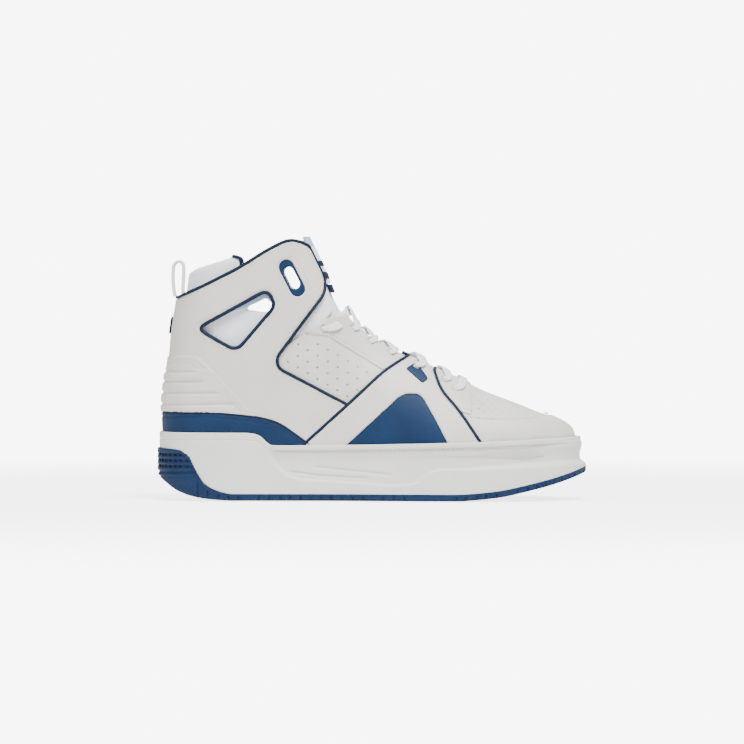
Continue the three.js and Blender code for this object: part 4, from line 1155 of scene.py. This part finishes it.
def midsoleInset(z):
    place = np.column_stack([ringX, np.broadcast_to(z, len(ringX))])
    top = rimTop(ringX)
    edge = distanceTo(place, midsole["recess"], True) * np.where(insidePolygon(place, midsole["recess"]), 1, -1)
    toe = smoothStep((ringX - 60) / 80)
    down = top - z  # below the rim
    depth = midsole["depth"] + (midsole["toeDepth"] - midsole["depth"]) * toe
    depth = depth * (0.7 + 0.3 * smoothStep((down - 6) / 6))
    inset = smoothStep(edge / (1.5 + 3.2 * toe) + 0.25) * depth
    lip = smoothStep((midsole["lip"] + 0.5 - down) / 1.6)
    front = smoothStep((ringX + 71) / 3)
    inset = inset * (1 - lip * front) + (0.35 + rimLip) * lip * front + rimLip * (1 - front)
    inset += midsole["grooveDepth"] * np.exp(-((down - midsole["lip"] - 0.4) / 0.5) ** 2) * front
    inset += midsole["heelGrooveDepth"] * np.exp(-((down - midsole["heelGroove"]) / 0.5) ** 2) * (1 - front)
    for line in midsole["slashes"]:
        far = distanceTo(place, np.array(line, float))
        inset += midsole["slashDepth"] * np.exp(-(far / midsole["slashWidth"]) ** 2)
    seat = smoothStep((blueTop(ringX) - 0.2 - z) / 0.6) * (ringX < -98)
    return inset + 0.1 + midsole["seat"] * seat


rimHeight = rimTop(ringX)
bottom = groundLift(ringX) + outsoleThick - 0.4
rows = [(bottom, 8.0), (bottom, 1.0)]
for share in np.linspace(0, 1, 40, endpoint=False):
    z = bottom + 0.4 + (rimHeight - 9 - bottom - 0.4) * share
    rows.append((z, midsoleInset(z)))
for down in np.arange(9, 0.5, -0.4):
    rows.append((rimHeight - down, midsoleInset(rimHeight - down)))
lipInset = midsoleInset(rimHeight - 0.9)
rows += [(rimHeight - 0.35, lipInset + 0.15), (rimHeight - 0.05, lipInset + 0.5), (rimHeight, lipInset + 0.9),
         (rimHeight - 0.15, lipInset + 1.5), (rimHeight - 0.8, lipInset + 2.0), (rimHeight - 4, lipInset + 2.2),
         (np.full(len(ringX), 31.0), lipInset + 2.4)]
cupsole = wallRing("midsole", rows)
hold(cupsole, "whiteRubber", nodes=["midsole"])


def rimStitches():
    spot = ringPlan + ringInward * (midsoleInset(rimHeight - midsole["lip"]) - 0.1)[:, None]
    path = np.column_stack([spot, rimHeight - midsole["lip"] - 0.4])
    out = []
    for k, line in enumerate((path[: len(path) // 2], path[len(path) // 2:])):
        line = line[line[:, 0] > -67]
        row = evenly(line, 3.4)
        forward = np.gradient(row, axis=0)
        up = np.cross(forward, [0, 0, 1.0])
        out.append(scatter(f"rim{k}", row, forward, up, stitchShape))
    return joinAll("rim-stitching", out)


hold(rimStitches(), "threadWithPaintedSeamShade")

lower = {"notch": 7.3, "notchHalf": 0.45, "notchDepth": 1.3, "ridge": 4.1, "ridgeDepth": 1.1, "bumperEnd": -103}
ringLength = np.concatenate([[0], np.cumsum(np.linalg.norm(np.diff(ringPlan, axis=0), axis=1))])


def blueInset(z, share):
    ridged = smoothStep((-121 - ringX) / 3) * smoothStep((z - 15.5) / 2) * smoothStep((blueTop(ringX) - 0.8 - z) / 1.2)
    phase = np.abs(((z - 17.7) / lower["ridge"] + 0.5) % 1 - 0.5) * 2
    inset = -0.45 + 0.5 * smoothStep((ringX + 108) / 8) + ridged * lower["ridgeDepth"] * smoothStep((phase - 0.3) / 0.5)
    notch = np.abs((ringLength / lower["notch"] + 0.5) % 1 - 0.5) * lower["notch"] < lower["notchHalf"]
    return inset + lower["notchDepth"] * notch * (share < 0.62) * (ringX > -125)


low, high = groundLift(ringX), blueTop(ringX)
rows = [(low, 9.0), (low, 1.6), (low + 0.25, 0.9)]
for share in np.linspace(0.03, 1, 44):
    z = low + 0.3 + (high - low - 0.3) * share
    rows.append((z, blueInset(z, share) + 0.5 * np.exp(-share * 12) + (0.25 if share == 1 else 0)))
rows.append((high, 9.0))
tread = wallRing("outsole", rows)


def copyOf(piece, name):
    twin = piece.copy()
    twin.data = piece.data.copy()
    twin.name = twin.data.name = name
    bpy.context.scene.collection.objects.link(twin)
    return twin


def crossCut(piece, x, clearBefore):
    # cuts the piece across its length and closes the cut
    makeActive(piece)
    bpy.ops.object.mode_set(mode="EDIT")
    bpy.ops.mesh.select_all(action="SELECT")
    bpy.ops.mesh.bisect(plane_co=(x * mm, 0, 0), plane_no=(1, 0, 0), use_fill=True, clear_inner=clearBefore,
                        clear_outer=not clearBefore)
    bpy.ops.object.mode_set(mode="OBJECT")
    return piece


bumper = crossCut(copyOf(tread, "heel-bumper"), lower["bumperEnd"], False)
crossCut(tread, lower["bumperEnd"], True)
hold(tread, "blueRubber", nodes=["outsole"])
hold(bumper, "blueRubber", nodes=["heel_bumper"])

# dark square studs between the bumper's ridges
stud = {"size": (1.9, 1.7, 1.0), "heights": (31.9, 27.8, 23.7), "pitch": 5.2, "sunk": 0.25, "end": -129, "slant": 0.55}
bpy.ops.mesh.primitive_cube_add(size=1)
studShape = templateFrom(stud["size"])
studs, headings, outs = [], [], []
for z in stud["heights"]:
    rowEnd = stud["end"] + stud["slant"] * (stud["heights"][0] - z)
    for k in range(len(ringX)):
        before = ringLength[k - 1] % stud["pitch"] if k else stud["pitch"]
        if ringX[k] < rowEnd and ringLength[k] % stud["pitch"] < before:
            studs.append([*(ringPlan[k] + ringInward[k] * stud["sunk"]), z])
            headings.append([ringInward[k][1], -ringInward[k][0], 0])
            outs.append([-ringInward[k][0], -ringInward[k][1], 0])
studPiece = scatter("bumper-studs", np.array(studs), np.array(headings), np.array(outs), studShape)
for face in studPiece.data.polygons:
    face.use_smooth = False
hold(studPiece, "darkRubber")
print("sole done")

# inside: a soft sockliner that lifts out
sock = {"inset": 4.8, "bottom": 29.1, "top": 33.1, "edge": 1.2}
insideTurns = np.arange(120) / 120
insideRing = lastPoint(insideTurns, np.full(120, 40.0))[:, :2]
insole = planBlock("sockliner", shiftLine(insideRing, sock["inset"], True), sock["bottom"], sock["top"])
roundOver = insole.modifiers.new("edge", "BEVEL")
roundOver.width = sock["edge"] * mm
roundOver.segments = 3
roundOver.limit_method = "ANGLE"
applyModifiers(insole)
makeActive(insole)
bpy.ops.object.shade_smooth_by_angle(angle=math.radians(40))
hold(insole, "textile", "insole", ["sockliner"])

# pieces closed in by the others keep their CAD shape
for node, material in (("midsole_core", "foam"), ("strobel_board", "board"), ("toe_puff", "stiffener"),
                       ("heel_counter", "stiffener"), ("tab_anchor", "webbing")):
    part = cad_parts[node]
    part.data.materials.clear()
    part.data.materials.append(finish[material])

for shell in shellCache.values():
    bpy.data.objects.remove(shell)


# floor, light and camera

stage = {
    "floor": "#f4f4f5", "world": 0.45, "cove": 0.9, "floorGlow": 0.1, "floorSeen": 3.2, "backdropSeen": 8.0,
    "floorSize": 40, "floorDrop": 0.0004, "viewHeight": 89.8, "width": 527.7, "lens": 280, "tilt": 1.0,
    "lightAim": (0, 0, 0.08),
}
lights = {  # place, size and watts
    "key": ((0.3, -0.9, 1.9), (0.9, 0.7), 84), "fill": ((-1.4, -0.9, 0.8), (1.0, 1.0), 8),
    "rim": ((0.2, 1.4, 1.3), (1.2, 0.8), 14),
}
bpy.ops.mesh.primitive_plane_add(size=stage["floorSize"], location=(0, 0, -stage["floorDrop"]))
floor = bpy.context.object
floor.name = "floor"
floorMaterial, tree, shader, place = startMaterial("pale floor", 0.7)
shader.inputs["Base Color"].default_value = linear(stage["floor"])
shader.inputs["Emission Color"].default_value = (1, 1, 1, 1)
seen = addNode(tree, "ShaderNodeLightPath")
floorLight = addNode(tree, "ShaderNodeMapRange", {
    "Value": seen.outputs["Is Camera Ray"], "To Min": stage["floorGlow"], "To Max": stage["floorSeen"],
})
tree.links.new(floorLight.outputs["Result"], shader.inputs["Emission Strength"])
away = addNode(tree, "ShaderNodeVectorMath", {0: place.outputs["Object"]}, operation="LENGTH")
fade = addNode(tree, "ShaderNodeMapRange", {
    "Value": away.outputs["Value"], "From Min": 0.3, "From Max": 1.1, "To Min": 1.0, "To Max": 0.0,
}, interpolation_type="SMOOTHSTEP")
tree.links.new(fade.outputs["Result"], shader.inputs["Alpha"])
floor.data.materials.append(floorMaterial)

world = bpy.data.worlds.new("studio")
bpy.context.scene.world = world
world.use_nodes = True
glow = world.node_tree  # a soft overhead dome with a brighter cyclorama round the horizon
glow.nodes["Background"].inputs["Color"].default_value = (1, 1, 1, 1)
direction = addNode(glow, "ShaderNodeTexCoord")
axes = addNode(glow, "ShaderNodeSeparateXYZ", {"Vector": direction.outputs["Generated"]})
height = addNode(glow, "ShaderNodeMath", {0: axes.outputs["Z"]}, operation="ABSOLUTE")
cove = addNode(glow, "ShaderNodeMapRange", {
    "Value": height.outputs["Value"], "From Min": 0.18, "From Max": 0.4,
    "To Min": stage["cove"], "To Max": stage["world"],
}, interpolation_type="SMOOTHSTEP")
seen = addNode(glow, "ShaderNodeLightPath")
backdrop = addNode(glow, "ShaderNodeMapRange", {
    "Value": seen.outputs["Is Camera Ray"], "To Min": cove.outputs["Result"], "To Max": stage["backdropSeen"],
})
glow.links.new(backdrop.outputs["Result"], glow.nodes["Background"].inputs["Strength"])

for name, (place, size, watts) in lights.items():
    bpy.ops.object.light_add(type="AREA", location=place)
    lamp = bpy.context.object
    lamp.name = name
    lamp.data.shape = "RECTANGLE"
    lamp.data.size, lamp.data.size_y = size
    lamp.data.energy = watts
    lamp.rotation_euler = (Vector(stage["lightAim"]) - Vector(place)).to_track_quat("-Z", "Y").to_euler()

distance = stage["width"] * mm * stage["lens"] / 36
tilt = math.radians(stage["tilt"])
aim = Vector((0, 0, stage["viewHeight"] * mm))
bpy.ops.object.camera_add(location=aim + Vector((0, -math.cos(tilt), math.sin(tilt))) * distance)
camera = bpy.context.object
camera.data.lens = stage["lens"]
camera.data.sensor_width = 36
camera.rotation_euler = (aim - camera.location).to_track_quat("-Z", "Y").to_euler()
bpy.context.scene.camera = camera

print("scene done")
